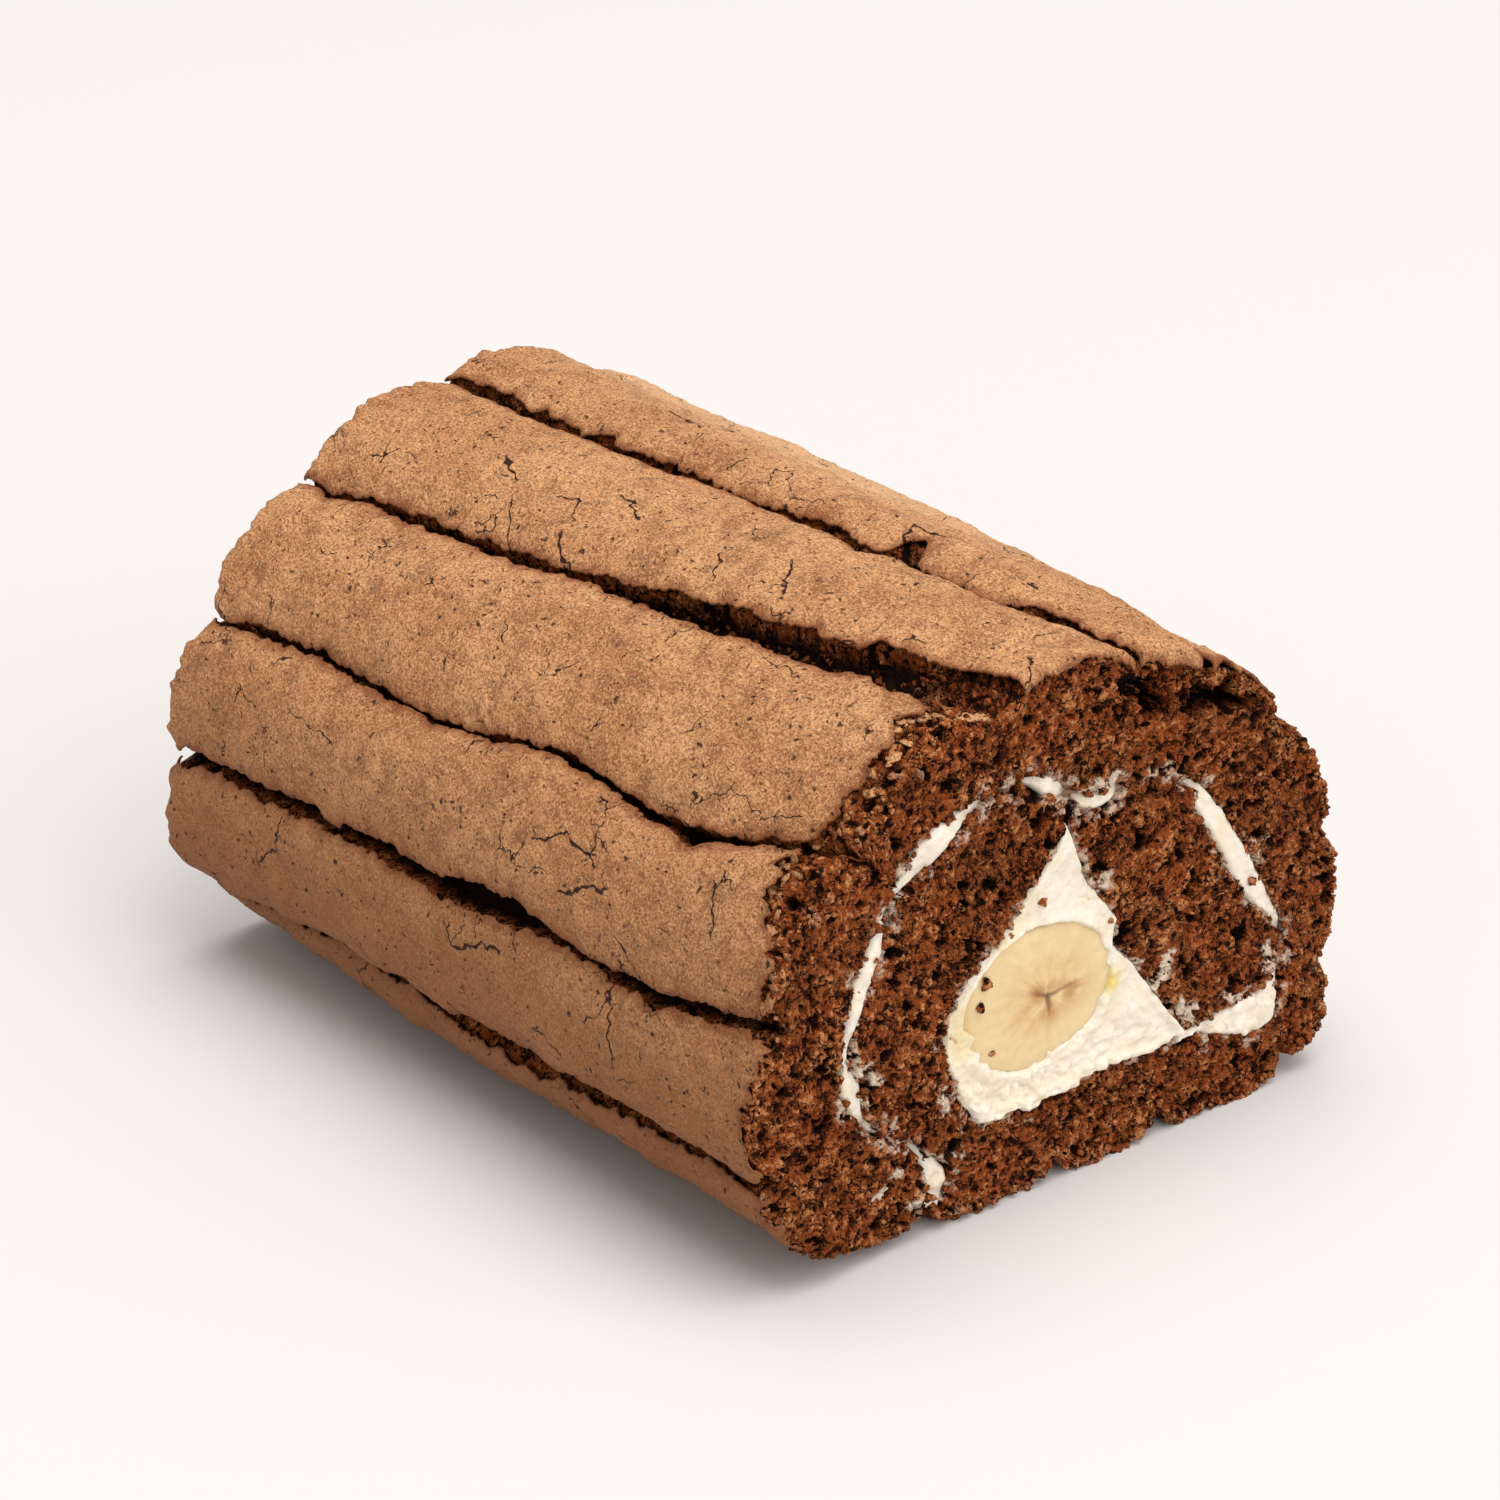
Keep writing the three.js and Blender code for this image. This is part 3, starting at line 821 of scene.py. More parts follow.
mesh, verts, a, b = one_sheet(FINGERS * BODY["columns"] + 1, BODY["rows"], ["pore_shade", "rise", "smear"])
share = a * FINGERS
column = share - BODY["crowd"] * np.sin(2 * np.pi * share) / (2 * np.pi)
x = BODY["from"] + (BODY["to"] - BODY["from"]) * b
skin = skin_of_crumb(column, x)
base = np.stack([x, skin["across"] + skin["inward"] * skin["depth"],
                 skin["up"] + skin["inward_up"] * skin["depth"]], -1)
relief, pore_shade = crumb_relief(base)
relief *= 1 - skin["cover"] * (1 - UNDER_CRUST["relief"])
across, up = base[:, 1] - skin["inward"] * relief, base[:, 2] - skin["inward_up"] * relief
close_ring(FINGERS * BODY["columns"] + 1, x, across, up)
put(verts, x, across, up)
# Painted shade in the pores and on the floors of the cracks.
mark(mesh, "pore_shade", verts, np.maximum(pore_shade, crack_shade(skin["drop"])))
# The relief height also drives the crumb's painted highlight and shade.
mark(mesh, "rise", verts, relief)
make_piece(mesh, "sponge_body", "sponge_sheet", "sponge", crumb)

# %% [markdown]
# ## The two cuts
# A cut is a ring too. Its columns run along the skin, turn over the worn edge, go down the face in
# the direction of the skin's own normal, so that they can't fold over each other at a crack, and
# then straight to the edge of the filling's heart. There they drop into the hollow that the filling
# fills. The band of cream is a hollow as well, so the crumb beside it casts a shadow on it.

# %% Where the filling lies in the cut
BANANA = {"across": -4.1, "up": 33.7, "half_width": 14.9, "half_height": 11.9, "tilt": -0.04}
# The heart's edge: across and up.
HEART = [
    (1.3, 60.9), (5.4, 50), (11.9, 41.8), (10.8, 37.6), (16.3, 32), (24.5, 20.4), (26.8, 17.2),
    (18.9, 16.4), (10.4, 17.2), (1.2, 16.3), (-14.7, 16.6), (-18.6, 20.6), (-22, 28.9),
    (-21.8, 35.9), (-16.9, 41.7), (-12.6, 44.9), (-7.4, 50.1), (-0.8, 57.3),
]
# Across, up, thickness, and how far the cream lies below the cut: where it is thin the crumb
# closes over it.
CREAM_BAND = [
    (-24.4, 4.5, 3.2, 0.8), (-23.6, 9.4, 3.4, 0.4), (-27, 15.5, 0.8, 2.4), (-34.4, 21, 0.8, 1.6),
    (-38.6, 25.4, 1.2, 1), (-40.3, 30.4, 2.8, 0.3), (-41.6, 35, 1, 0.4), (-40.8, 40.6, 1.3, 0.3),
    (-39, 46.6, 2, 0.1), (-36.2, 52.6, 1.9, 0.1), (-33.6, 57.8, 0.8, 1.6), (-30.2, 61.8, 1.5, 0.4),
    (-26.2, 65.2, 4, 0), (-20.7, 68, 2.2, 0.1), (-14.6, 70, 0.9, 1.1), (-9, 70.4, 0.6, 2.4),
    (-4.6, 69.6, 1.4, 1), (-1.4, 67.4, 2.4, 0.4), (2, 65.6, 0.8, 1.7), (5.4, 63.3, 2, 0.4),
    (9.8, 62.6, 1.6, 0.6), (14, 64.6, 0.6, 2.2), (21, 63.6, 0.6, 2.6), (27, 59.6, 1, 0.9),
    (30.4, 54.6, 2.9, 0), (35.1, 47.4, 3, 0), (40, 39.6, 3.3, 0), (44.6, 33.2, 2.1, 0.2),
    (47.4, 29.2, 1.2, 1.1), (47.9, 24, 0.8, 2), (46.6, 18.9, 2.2, 0.4), (44, 14.6, 6.2, 0),
    (39.8, 14.8, 5, 0), (34.8, 15.4, 2.6, 0.3), (30, 15.8, 1.2, 0.9), (26, 16.4, 1.5, 0.2),
]
COVERED_OVER = 1.9
BAND_STEPS = 520
HEART_STEPS = 420

band_u = np.linspace(0, 1, BAND_STEPS)
band_across, band_up, band_width, band_sunk = (along(row, band_u) for row in zip(*CREAM_BAND))
corner = np.linspace(0, len(HEART), 12 * len(HEART) + 1)
heart_across, heart_up = (np.interp(corner, range(len(HEART) + 1), (*row, row[0])) for row in zip(*HEART))
heart_angle = np.unwrap(np.arctan2(heart_up - BANANA["up"], heart_across - BANANA["across"]))
heart_reach = np.hypot(heart_up - BANANA["up"], heart_across - BANANA["across"])
order = np.argsort(heart_angle)


def heart_edge(angle):
    """How far the heart reaches from the banana's middle at an angle."""
    return np.interp(angle, heart_angle[order], heart_reach[order], period=2 * np.pi)


def banana_edge(angle):
    """How far the banana reaches from its middle at an angle."""
    c, s = np.cos(angle - BANANA["tilt"]), np.sin(angle - BANANA["tilt"])
    return 1 / np.hypot(c / BANANA["half_width"], s / BANANA["half_height"])


def band_gap(across, up):
    """How far points of the cut lie outside the band's open cream; less than 0 is inside it."""
    gap = np.full(len(across), 99.0)
    open_width = band_width * smooth_step(COVERED_OVER, COVERED_OVER - 0.6, band_sunk)
    for line_across, line_up, width in zip(band_across, band_up, open_width):
        np.minimum(gap, np.hypot(across - line_across, up - line_up) - width / 2, out=gap)
    return gap


print("heart reaches", round(heart_reach.min(), 1), "to", round(heart_reach.max(), 1), "mm")

# %% [markdown]
# The near cut has hollows that are no pores: two long caverns where the crust came loose from the
# crumb, and a few holes as wide as a pea. They are ellipses that noise pulls out of shape.

# %% Caverns of the near cut
CAVERNS = [
    {"at": (17, 76.9), "reach": (5.1, 2.6), "tilt": -0.5, "depth": 5},
    {"at": (31.5, 72.6), "reach": (7, 2), "tilt": -0.2, "depth": 5},
    {"at": (-3.5, 63.2), "reach": (2.1, 1.5), "tilt": 0.3, "depth": 3},
    {"at": (7.4, 64.2), "reach": (1.8, 0.7), "tilt": 0.2, "depth": 3},
    {"at": (-11.6, 52.1), "reach": (1.7, 1.4), "tilt": 0.6, "depth": 3},
    {"at": (9.4, 62), "reach": (1.5, 1.1), "tilt": 0, "depth": 2},
    {"at": (16.7, 52.4), "reach": (1.5, 1.1), "tilt": 0, "depth": 2.5},
    {"at": (-18.7, 56.9), "reach": (1.4, 1.1), "tilt": 0, "depth": 2.5},
    {"at": (-38.6, 30.6), "reach": (1.7, 1.2), "tilt": 0.9, "depth": 3},
]
CAVERN_NOISE = ((0.5, 2.4, 21), (0.35, 1.0, 22))
CAVERN_BRINK = (1.25, 0.75)
# Where the knife dragged cream over the crumb: across and up, half sizes, and tilt.
SMEARS = [
    ((-39.2, 33.6), (2.6, 0.8), -0.15), ((-36.6, 30.6), (1.6, 1.3), 0), ((-38.2, 28.2), (1, 1.4), 0.3),
    ((-34.4, 11.4), (2, 0.8), 0.35), ((-31.6, 13.3), (1.1, 0.8), 0), ((-21.6, 11.6), (1.5, 1.1), 0.6),
    ((-22.4, 22.4), (1, 2.2), 0.2), ((22.8, 29.8), (1.3, 2.4), -0.3), ((20.4, 27.6), (1.2, 1), 0),
    ((9.4, 49.2), (0.9, 1.6), 0.3), ((28.6, 19.4), (1.3, 1.8), -0.6), ((26.2, 21.4), (0.9, 1.5), 0),
    ((-28, 6.8), (1.2, 0.8), 0), ((5.4, 65.4), (2.4, 0.8), 0.1), ((9.6, 65.4), (2.2, 0.8), 0.5),
    ((-35, 56.6), (1.1, 1.5), 0.4), ((-3, 68.8), (1.3, 0.9), 0), ((45.4, 24.4), (0.8, 2.4), 0.2),
    ((-31, 62.4), (1.6, 1.2), 0.6), ((38, 19), (1.8, 0.9), -0.4), ((-40, 43.6), (0.8, 2), 0),
]
SMEAR_NOISE = ((0.4, 1.3, 23), (0.2, 0.6, 24))
SMEAR_BRINK = (1.5, 0.7)


def off_ellipse(across, up, at, reach, tilt):
    """How far points lie from an ellipse's middle, as a share of its reach that way."""
    off, rise = across - at[0], up - at[1]
    c, s = math.cos(tilt), math.sin(tilt)
    return np.hypot((off * c + rise * s) / reach[0], (rise * c - off * s) / reach[1])


def cavern_at(across, up):
    """How far caverns sink the near cut at each point, and how deep inside one it lies, 0 to 1, for painted
    shade.
    """
    sunk, inside = np.zeros(len(across)), np.zeros(len(across))
    ragged = rough(CAVERN_NOISE, across, up)
    for cavern in CAVERNS:
        far = off_ellipse(across, up, cavern["at"], cavern["reach"], cavern["tilt"])
        within = smooth_step(*CAVERN_BRINK, far + ragged)
        sunk, inside = np.maximum(sunk, cavern["depth"] * within), np.maximum(inside, within)
    return sunk, inside


def smeared_at(across, up):
    """How much cream the knife left on the crumb at each point of the near cut."""
    most = np.zeros(len(across))
    ragged = rough(SMEAR_NOISE, across, up)
    for at, half, tilt in SMEARS:
        within = smooth_step(*SMEAR_BRINK, off_ellipse(across, up, at, half, tilt) + ragged)
        most = np.maximum(most, within)
    return most


print(len(CAVERNS), "caverns,", len(SMEARS), "smears")

# %% [markdown]
# One function makes either cut. It walks a grid's rows over the skin, round the worn edge, down the
# rim and across the face, and the two helpers before it say how far the heart's brink lies and how
# much cream is left on the crumb. The relief pushes the skin outwards and the face along the roll.

# %% How a cut's points move
HOLLOW = 3.2
HOLLOW_EDGE = (0.4, -0.2)
FACE_FROM = 0.9  # the face begins when the edge has turned this far, from 0 to 1
HUB = 7.0
INTO_FACE = 7.0
CUT_AT = LENGTH / 2 - 0.7
EDGE_LUMPS = {"more": 0.45, "within": 4}
HANGS_PAST = 0.8
# The ring's first rows dive under the body's surface, so that no seam shows.
DIVE = {"by": 0.8, "share": 0.2}
BRINK_NOISE = ((0.5, 2.6, 0), (0.25, 0.9, 0))
GAP_NOISE = ((0.6, 2.2, 3), (0.45, 0.8, 4))
VEIL = {"noise": ((1, 3.4, 5), (0.5, 1.2, 6)), "by_band": 2.2, "by_heart": 2, "off": 0.5, "width": 2.2}
SMEAR_MORE = 1.6
PRESSED_RELIEF = {"most": 0.1, "lower": 0.6}


def overhung(column, depth):
    """Whether crust hangs down over the near cut at a depth below the outline."""
    end = crust_end(crumb_at(column, np.full_like(column, CUT_AT))[0], 1)
    return depth < end - LENGTH / 2 + HANGS_PAST


def to_the_heart(across, up, side, face, hub):
    """Moves a cut's points straight towards the banana, and tells how far outside the heart they are."""
    angle = np.arctan2(up - BANANA["up"], across - BANANA["across"])
    reach = np.hypot(up - BANANA["up"], across - BANANA["across"])
    brink = heart_edge(angle) + rough(BRINK_NOISE, across, up, seed=side)
    inner = reach + (brink - reach) * face
    inner = inner + (HUB - inner) * hub
    return BANANA["across"] + inner * np.cos(angle), BANANA["up"] + inner * np.sin(angle), inner - brink


def cream_left(across, up, side, gap, past_brink):
    """How much cream lies on the crumb: beside band and heart, and where the knife dragged it."""
    veil = rough(VEIL["noise"], across, up)
    by_band = smooth_step(VEIL["width"], 0, gap + VEIL["by_band"] * veil + VEIL["off"])
    by_heart = smooth_step(VEIL["width"], 0, past_brink + VEIL["by_heart"] * veil + VEIL["off"])
    left = np.maximum(by_band, by_heart)
    return np.maximum(left, SMEAR_MORE * smeared_at(across, up)) if side > 0 else left


# %% A cut as one ring
def cut_piece(name, side, per_finger, rows, skin_from, wear):
    """The sponge at one cut, with a number of rows for skin, worn edge, rim, face, wall and floor."""
    stage_ends = np.cumsum([0, *rows])
    mesh, verts, a, b = one_sheet(FINGERS * per_finger + 1, stage_ends[-1] + 1, ["pore_shade", "rise", "smear"])
    column, row = a * FINGERS, b * stage_ends[-1]
    along_skin, edge, rim, face, wall, hub = (
        np.clip((row - low) / (high - low), 0, 1) for low, high in zip(stage_ends, stage_ends[1:]))

    # Along the skin and over the worn edge.
    worn, turn, cut_x = wear(column), edge * np.pi / 2, side * CUT_AT
    over = np.sin(turn)
    x = skin_from + (cut_x - side * worn - skin_from) * along_skin + side * worn * over
    skin, at_cut = skin_of_crumb(column, x), skin_of_crumb(column, np.full_like(x, cut_x))
    start = {key: np.where(edge > 0, at_cut[key], skin[key])
             for key in ("across", "up", "inward", "inward_up", "depth")}
    depth = start["depth"] + DIVE["by"] * (1 - along_skin / DIVE["share"]).clip(0, 1)
    depth = depth + worn * (1 - np.cos(turn))
    rim_end = start["depth"] + worn
    depth = depth + (np.maximum(INTO_FACE, rim_end + 0.5) - rim_end) * rim
    across, up = start["across"] + start["inward"] * depth, start["up"] + start["inward_up"] * depth
    across, up, past_brink = to_the_heart(across, up, side, face, hub)

    # Lumps and pores, which crust holds down.
    relief, pore_shade = crumb_relief(np.stack([x, across, up], -1))
    cover = np.where(edge > 0, 0, skin["cover"])
    relief *= 1 - cover * (1 - UNDER_CRUST["relief"])
    by_edge = np.exp(-(((depth - start["depth"]) / EDGE_LUMPS["within"]) ** 2))
    relief *= 1 + EDGE_LUMPS["more"] * by_edge * (1 - cover)
    gap = band_gap(across, up) + rough(GAP_NOISE, across, up)
    on_face = over > FACE_FROM
    down = HOLLOW * np.maximum(smooth_step(*HOLLOW_EDGE, gap) * on_face, wall)
    if side > 0:
        pressed = np.minimum(relief, PRESSED_RELIEF["most"]) - PRESSED_RELIEF["lower"]
        relief = np.where(overhung(column, depth), pressed, relief)
        sunk, inside = cavern_at(across, up)
        # Caverns sink the face and get painted shade inside.
        down, pore_shade = np.maximum(down, sunk * on_face), np.maximum(pore_shade, inside * on_face)
        past = FOOT["past"] * by_foot(crumb_at(column, np.full_like(x, cut_x))[0])
        x = x + past * smooth_step(*FOOT["deep"], depth) * smooth_step(FOOT["from"], cut_x - 1, x)

    x = x + side * (relief * over - down)
    across = across - start["inward"] * relief * (1 - over)
    up = up - start["inward_up"] * relief * (1 - over)
    close_ring(FINGERS * per_finger + 1, x, across, up)
    put(verts, x, across, up)
    # Painted shade in pores, caverns and on the floors of cracks.
    mark(mesh, "pore_shade", verts, np.maximum(pore_shade, crack_shade(np.where(edge < 1, skin["drop"], 0))))
    # The relief height also drives the crumb's painted highlight and shade.
    mark(mesh, "rise", verts, relief)
    mark(mesh, "smear", verts, np.where(on_face, cream_left(across, up, side, gap, past_brink), 0))
    return make_piece(mesh, name, "sponge_sheet", "sponge", crumb)


# %% [markdown]
# The near edge is worn most where the crust stops furthest from the cut, and low down, where the
# soft crumb broke away in lumps. The far edge, cut at the same time, gets one wear all round.

# %% Both cuts
WEAR = {"crust_to": 73.5, "most_missing": 6, "all_round": 0.9, "where_missing": 0.4, "least": 0.5,
        "low_begin": (90, 110), "low_stop": (250, 230), "far": 1.8}
WEAR_NOISE = {"broad": (6, 2), "lumpy": (2.8, 3), "all_round": 0.35, "broad_low": 0.4, "lumpy_low": 0.7}


def near_wear(column):
    """The near edge is worn most where the crust stops furthest from the cut."""
    place = crumb_at(column, np.full_like(column, LENGTH / 2 - 2))[0]
    missing = np.clip(WEAR["crust_to"] - near_end(place), 0, WEAR["most_missing"])
    low = smooth_step(*WEAR["low_begin"], place) * smooth_step(*WEAR["low_stop"], place)
    broad, lumpy = (noise_at(*WEAR_NOISE[kind], place) for kind in ("broad", "lumpy"))
    uneven = (WEAR_NOISE["all_round"] + WEAR_NOISE["broad_low"] * low) * broad
    uneven += WEAR_NOISE["lumpy_low"] * low * lumpy
    return np.maximum(WEAR["all_round"] + WEAR["where_missing"] * missing + uneven, WEAR["least"])


def far_wear(column):
    """The far edge is worn the same all round."""
    return np.full_like(column, WEAR["far"])


cut_piece("sponge_near_cut", 1, 51, (28, 8, 12, 84, 3, 2), 58.0, near_wear)
cut_piece("sponge_far_cut", -1, 36, (10, 5, 8, 56, 2, 2), -64.0, far_wear)

# %% [markdown]
# ## Crust plates
# Every finger carries a plate of crust less than a millimetre thick. A plate starts as two sheets
# joined at the rim. Its long edges follow the cracks with ragged noise, its short ones follow the
# crust's end at each cut, and where it reaches past a cut it bends down over the edge. It swells and
# dips a little, and its edges lift, as a drying skin does.

# %% Relief and hairline cracks of the crust
HAIRLINES = [
    [(39.9, 81.5), (41.6, 85.2), (43.5, 88.5), (43.5, 92.6), (44.1, 95.8)],
    [(30.3, -4.2), (24.7, -12.9), (27.6, -13.6), (30, -14.8)],
    [(-38.8, 17.8), (-35.7, 19.3), (-33, 20.7)],
    [(-29.8, 23.7), (-26.7, 27.8), (-23.2, 31.4)],
    [(-23.4, 19), (-20.1, 17.7), (-16.8, 21.3)],
    [(-16.1, 24.7), (-13.9, 27.8), (-8.9, 29.2)],
    [(-14.3, 13.3), (-10.8, 13.6), (-7.2, 15.3)],
    [(-34.1, -13.2), (-26.6, -12.3)],
    [(11.3, 14.6), (15.6, 18.8)],
    [(23.4, 10.1), (28.3, 15.5)],
    [(18.8, 68.9), (25.2, 66.4), (32.7, 67.9)],
    [(27.2, 74.1), (31.7, 71.8), (36.6, 70.6)],
    [(2.6, 90), (3.7, 92.2), (5.7, 92.6), (10.8, 89.7), (15.7, 89)],
    [(-42.5, 90.4), (-42.5, 93.4), (-43.3, 96.2), (-47.5, 99.3)],
    [(41.3, 75.9), (46.1, 78.6)],
    [(56.5, 61.4), (59.5, 68.1)],
    [(70.7, 4.6), (74.8, 7.5), (77.8, 11.2)],
]
FAR_OFF = 9.0
HAIRLINE_SWAY = ((0.5, 2.1, 31), (0.3, 0.8, 32))
SWELLS = ((0.42, 13, 41), (0.2, 4.6, 42))
DENTS = ((0.16, 2.2, 43), (0.08, 0.8, 44))
LIFT = {"by": 0.32, "fades_over": 1.1, "size": 3.6, "seed": 45, "usual": 0.6, "uneven": 0.7}


def hairline_at(x, place):
    """The signed distance to the nearest hairline crack, and how far past its end a corner lies."""
    x = x + rough(HAIRLINE_SWAY, x, place)
    place = place + rough(HAIRLINE_SWAY, x, place, seed=2)
    nearest, signed, past = (np.full(len(x), FAR_OFF) for _ in range(3))
    for line in HAIRLINES:
        for (x0, place0), (x1, place1) in zip(line, line[1:]):
            length = math.hypot(x1 - x0, place1 - place0)
            along_x, along_place = (x1 - x0) / length, (place1 - place0) / length
            run = (x - x0) * along_x + (place - place0) * along_place
            side = (x - x0) * along_place - (place - place0) * along_x
            beyond = np.maximum(0, np.maximum(-run, run - length))
            away = np.hypot(side, beyond)
            closer = away < nearest
            nearest = np.where(closer, away, nearest)
            signed = np.where(closer, side, signed)
            past = np.where(closer, beyond, past)
    return signed, past


def crust_relief(x, place, edge):
    """How far the crust stands out: broad swells, small dents and lifted edges."""
    uneven = LIFT["usual"] + LIFT["uneven"] * noise_at(LIFT["size"], LIFT["seed"], x, place)
    lift = LIFT["by"] * np.exp(-edge / LIFT["fades_over"]) * uneven
    return rough(SWELLS, x, place) + rough(DENTS, x, place) + lift


print(len(HAIRLINES), "hairline cracks")

# %% [markdown]
# Every finger gets its plate from the same function, which places the two sheets' corners by the
# finger's own cracks. The seen plates have corners twice as close as the ones under and behind.

# %% One plate of crust on each finger
# Where the crust bends down over a cut, how tightly, and how unevenly: at the far cut and the near.
TUCKS = {"from": (72.4, 74.0), "radius": (2.2, 1.3), "uneven": (1, 0.35)}
TUCK_NOISE = ((0.5, 3.4, 46), (0.35, 1.2, 47))
EDGE_NOISE = ((0.4, 7), (0.3, 3.1), (0.26, 1.3), (0.16, 0.6))
LEAST_OPENING = 0.12
THIN_EDGE = {"share": 0.5, "over": 2.5}
ON_TABLE = 0.3  # the share of its thickness that a plate keeps where the table presses it flat
SPACING = {"seen": 0.42, "hidden": 0.8}
NEAR_X = 70.0  # x where a plate's end is looked up, and the same on the far side
PLATE_NAMES = [crack["name"] for crack in CRACKS] + [f"back_{k + 1}" for k in range(BACK["cracks"])]
SHOWN = ("back_shoulder", "back_crown", "crown", "shoulder", "flank", "belly", "foot")


def ragged_edge(i, side, x):
    """The place of a plate's edge beside crack i, on the side of the finger before or after it."""
    seed = 60 + 2 * (i % FINGERS) + side
    ragged = sum(height * noise_at(size, seed, x) for height, size in EDGE_NOISE)
    return look_up(PLACE, i, x) + side * np.maximum(look_up(OPENING, i, x) / 2 + ragged, LEAST_OPENING)


def plate(i, name, step):
    """The crust of finger i as a closed plate with corners about step millimetres apart."""
    span = float(np.mean(PLACE[i + 1] - PLACE[i]))
    columns, rows = round(span / step), round(LENGTH / step)
    mesh, front, behind, a, b = two_sheets(columns, rows, ["edge", "tear", "tear_end"])

    def place_at(x):
        start, stop = ragged_edge(i, 1, x), ragged_edge(i + 1, -1, x)
        return start, stop, start + (stop - start) * a

    ends = [crust_end(place_at(np.full_like(a, side * NEAR_X))[2], side) for side in (-1, 1)]
    x = ends[0] + (ends[1] - ends[0]) * b
    start, stop, place = place_at(np.minimum(x, LENGTH / 2))
    t = (place - look_up(PLACE, i, x)) / (look_up(PLACE, i + 1, x) - look_up(PLACE, i, x))
    _, fall, _, _ = finger_at(i, t, np.minimum(x, LENGTH / 2))
    edge = np.minimum(np.minimum(place - start, stop - place), np.minimum(x - ends[0], ends[1] - x))
    edge = np.maximum(edge, 0)
    side = np.sign(x)
    tuck_from, radius, uneven = (np.where(x > 0, near, far) for far, near in TUCKS.values())
    tuck_from = tuck_from + rough(TUCK_NOISE, place, side) * uneven
    over = np.maximum(np.abs(x) - tuck_from, 0)
    bend = np.minimum(over / radius, np.pi / 2)
    hang = over - bend * radius
    flat_x = side * np.minimum(np.abs(x), tuck_from)
    across, up, inward, inward_up = on_outline(np.minimum(x, LENGTH / 2), place)
    relief = crust_relief(x, place, edge)
    thickness = CRUST * (1 - THIN_EDGE["share"] * smooth_step(THIN_EDGE["over"], 0, edge))
    for verts, below in ((front, 0), (behind, thickness)):
        out = relief - below
        depth = fall + radius * (1 - np.cos(bend)) + hang - out * np.cos(bend)
        at_x = flat_x + side * (radius + out) * np.sin(bend)
        put(verts, at_x, across + inward * depth, np.maximum(up + inward_up * depth, ON_TABLE * below))
    signed, past = hairline_at(x, place)
    for verts in (front, behind):
        mark(mesh, "tear", verts, signed)
        mark(mesh, "tear_end", verts, past)
    mark(mesh, "edge", front, edge)
    mark(mesh, "edge", behind, np.zeros_like(edge))
    return make_piece(mesh, f"crust_{name}", "sponge_sheet", "crust", crust)


for i, name in enumerate(PLATE_NAMES):
    plate(i, name, SPACING["seen" if name in SHOWN else "hidden"])

# %% [markdown]
# ## Cream
# The cream is a band rolled up with the sheet, and a heart of it round the banana. Both run from cut
# to cut, as two sheets joined at the rim and pulled the whole length apart. The knife left the cream
# smeared flat in places and torn in others, and it bulges a hair where it is thick.

# %% The band of cream
CREAM_LEVEL = LENGTH / 2 - 0.6
CREAM_SWELL = (0.35, 5.5)
TORN = {"ridges": (0.25, 2.6), "grain": (0.07, 0.9), "more": 1.6, "below": (27, 21), "sunk": 0.1}
SHOULDER = {"by": 0.7, "over": 0.6}
BAND = {"least": 0.8, "wider": 0.5, "rows": 13, "seed": 72, "smear": 0.3}


def cream_relief(across, up, seed):
    """How far cream stands out of the cut: broad swells, and torn ridges that are highest low down."""
    height, size = CREAM_SWELL
    broad = height * noise_at(size, seed, across, up)
    height, size = TORN["ridges"]
    torn = height * np.abs(noise_at(size, seed + 1, across, up))
    height, size = TORN["grain"]
    torn = torn + height * noise_at(size, seed + 2, across, up)
    return broad + torn * (1 + TORN["more"] * smooth_step(*TORN["below"], up)) - TORN["sunk"]


def pull_apart(front, behind, across, up, rim, level, seed):
    """Puts the two sheets of a filling at the two cuts, rounded off towards their rims."""
    shoulder = SHOULDER["by"] * (1 - smooth_step(0, SHOULDER["over"], rim))
    for verts, side in ((front, 1), (behind, -1)):
        put(verts, side * (level + cream_relief(across, up, seed + side) - shoulder), across, up)


band_ahead = np.gradient(np.stack([band_across, band_up]), axis=1)
band_ahead /= np.hypot(*band_ahead)
BAND_TABLE = (band_across, band_up, band_width, band_sunk, -band_ahead[1], band_ahead[0])


def on_band(share):
    """The band's middle line, thickness, depth under the cut and sideways direction, by share."""
    return [np.interp(share, band_u, row) for row in BAND_TABLE]


mesh, front, behind, a, b = two_sheets(BAND_STEPS, BAND["rows"], ["smear", "tint"])
line_across, line_up, width, sunk, side_across, side_up = on_band(a)
half = np.maximum(width, BAND["least"]) / 2 + BAND["wider"]
reach = (2 * b - 1) * half
across, up = line_across + side_across * reach, line_up + side_up * reach
pull_apart(front, behind, across, up, half - np.abs(reach), CREAM_LEVEL - sunk, BAND["seed"])
for verts in (front, behind):
    mark(mesh, "smear", verts, np.clip(BAND["smear"] + sunk, 0, 1))
    mark(mesh, "tint", verts, 0 * a)
make_piece(mesh, "cream_band", "cream_filling", "cream", cream)

# %% [markdown]
# The heart is a ring of cream round the banana. In places it laps over the banana's rim, its lower
# edge is ruffled where the knife pushed it down, and the banana's juice has tinted it here and there.
# One warm patch on the upper lobe's slope is painted shade.

# %% The heart of cream
HEART_ROWS = 52
UNDER_RIM = 0.82  # the ring begins under the banana, at this share of its radius
WIDER, LEAST_RING = 0.3, 0.8
ROUND_IT = 12  # millimetres for noise to run along, so that it meets itself round the ring
HEART_SEED = 80
# The lower edge's ruffles, how far they push the edge out, and how far they stand up over a way in.
RUFFLE = {"up": 24, "over": 5, "by": 1.1, "size": 2.6, "seed": 77, "more": 0.2,
          "stand": 0.7, "in": (3.5, 1.5)}
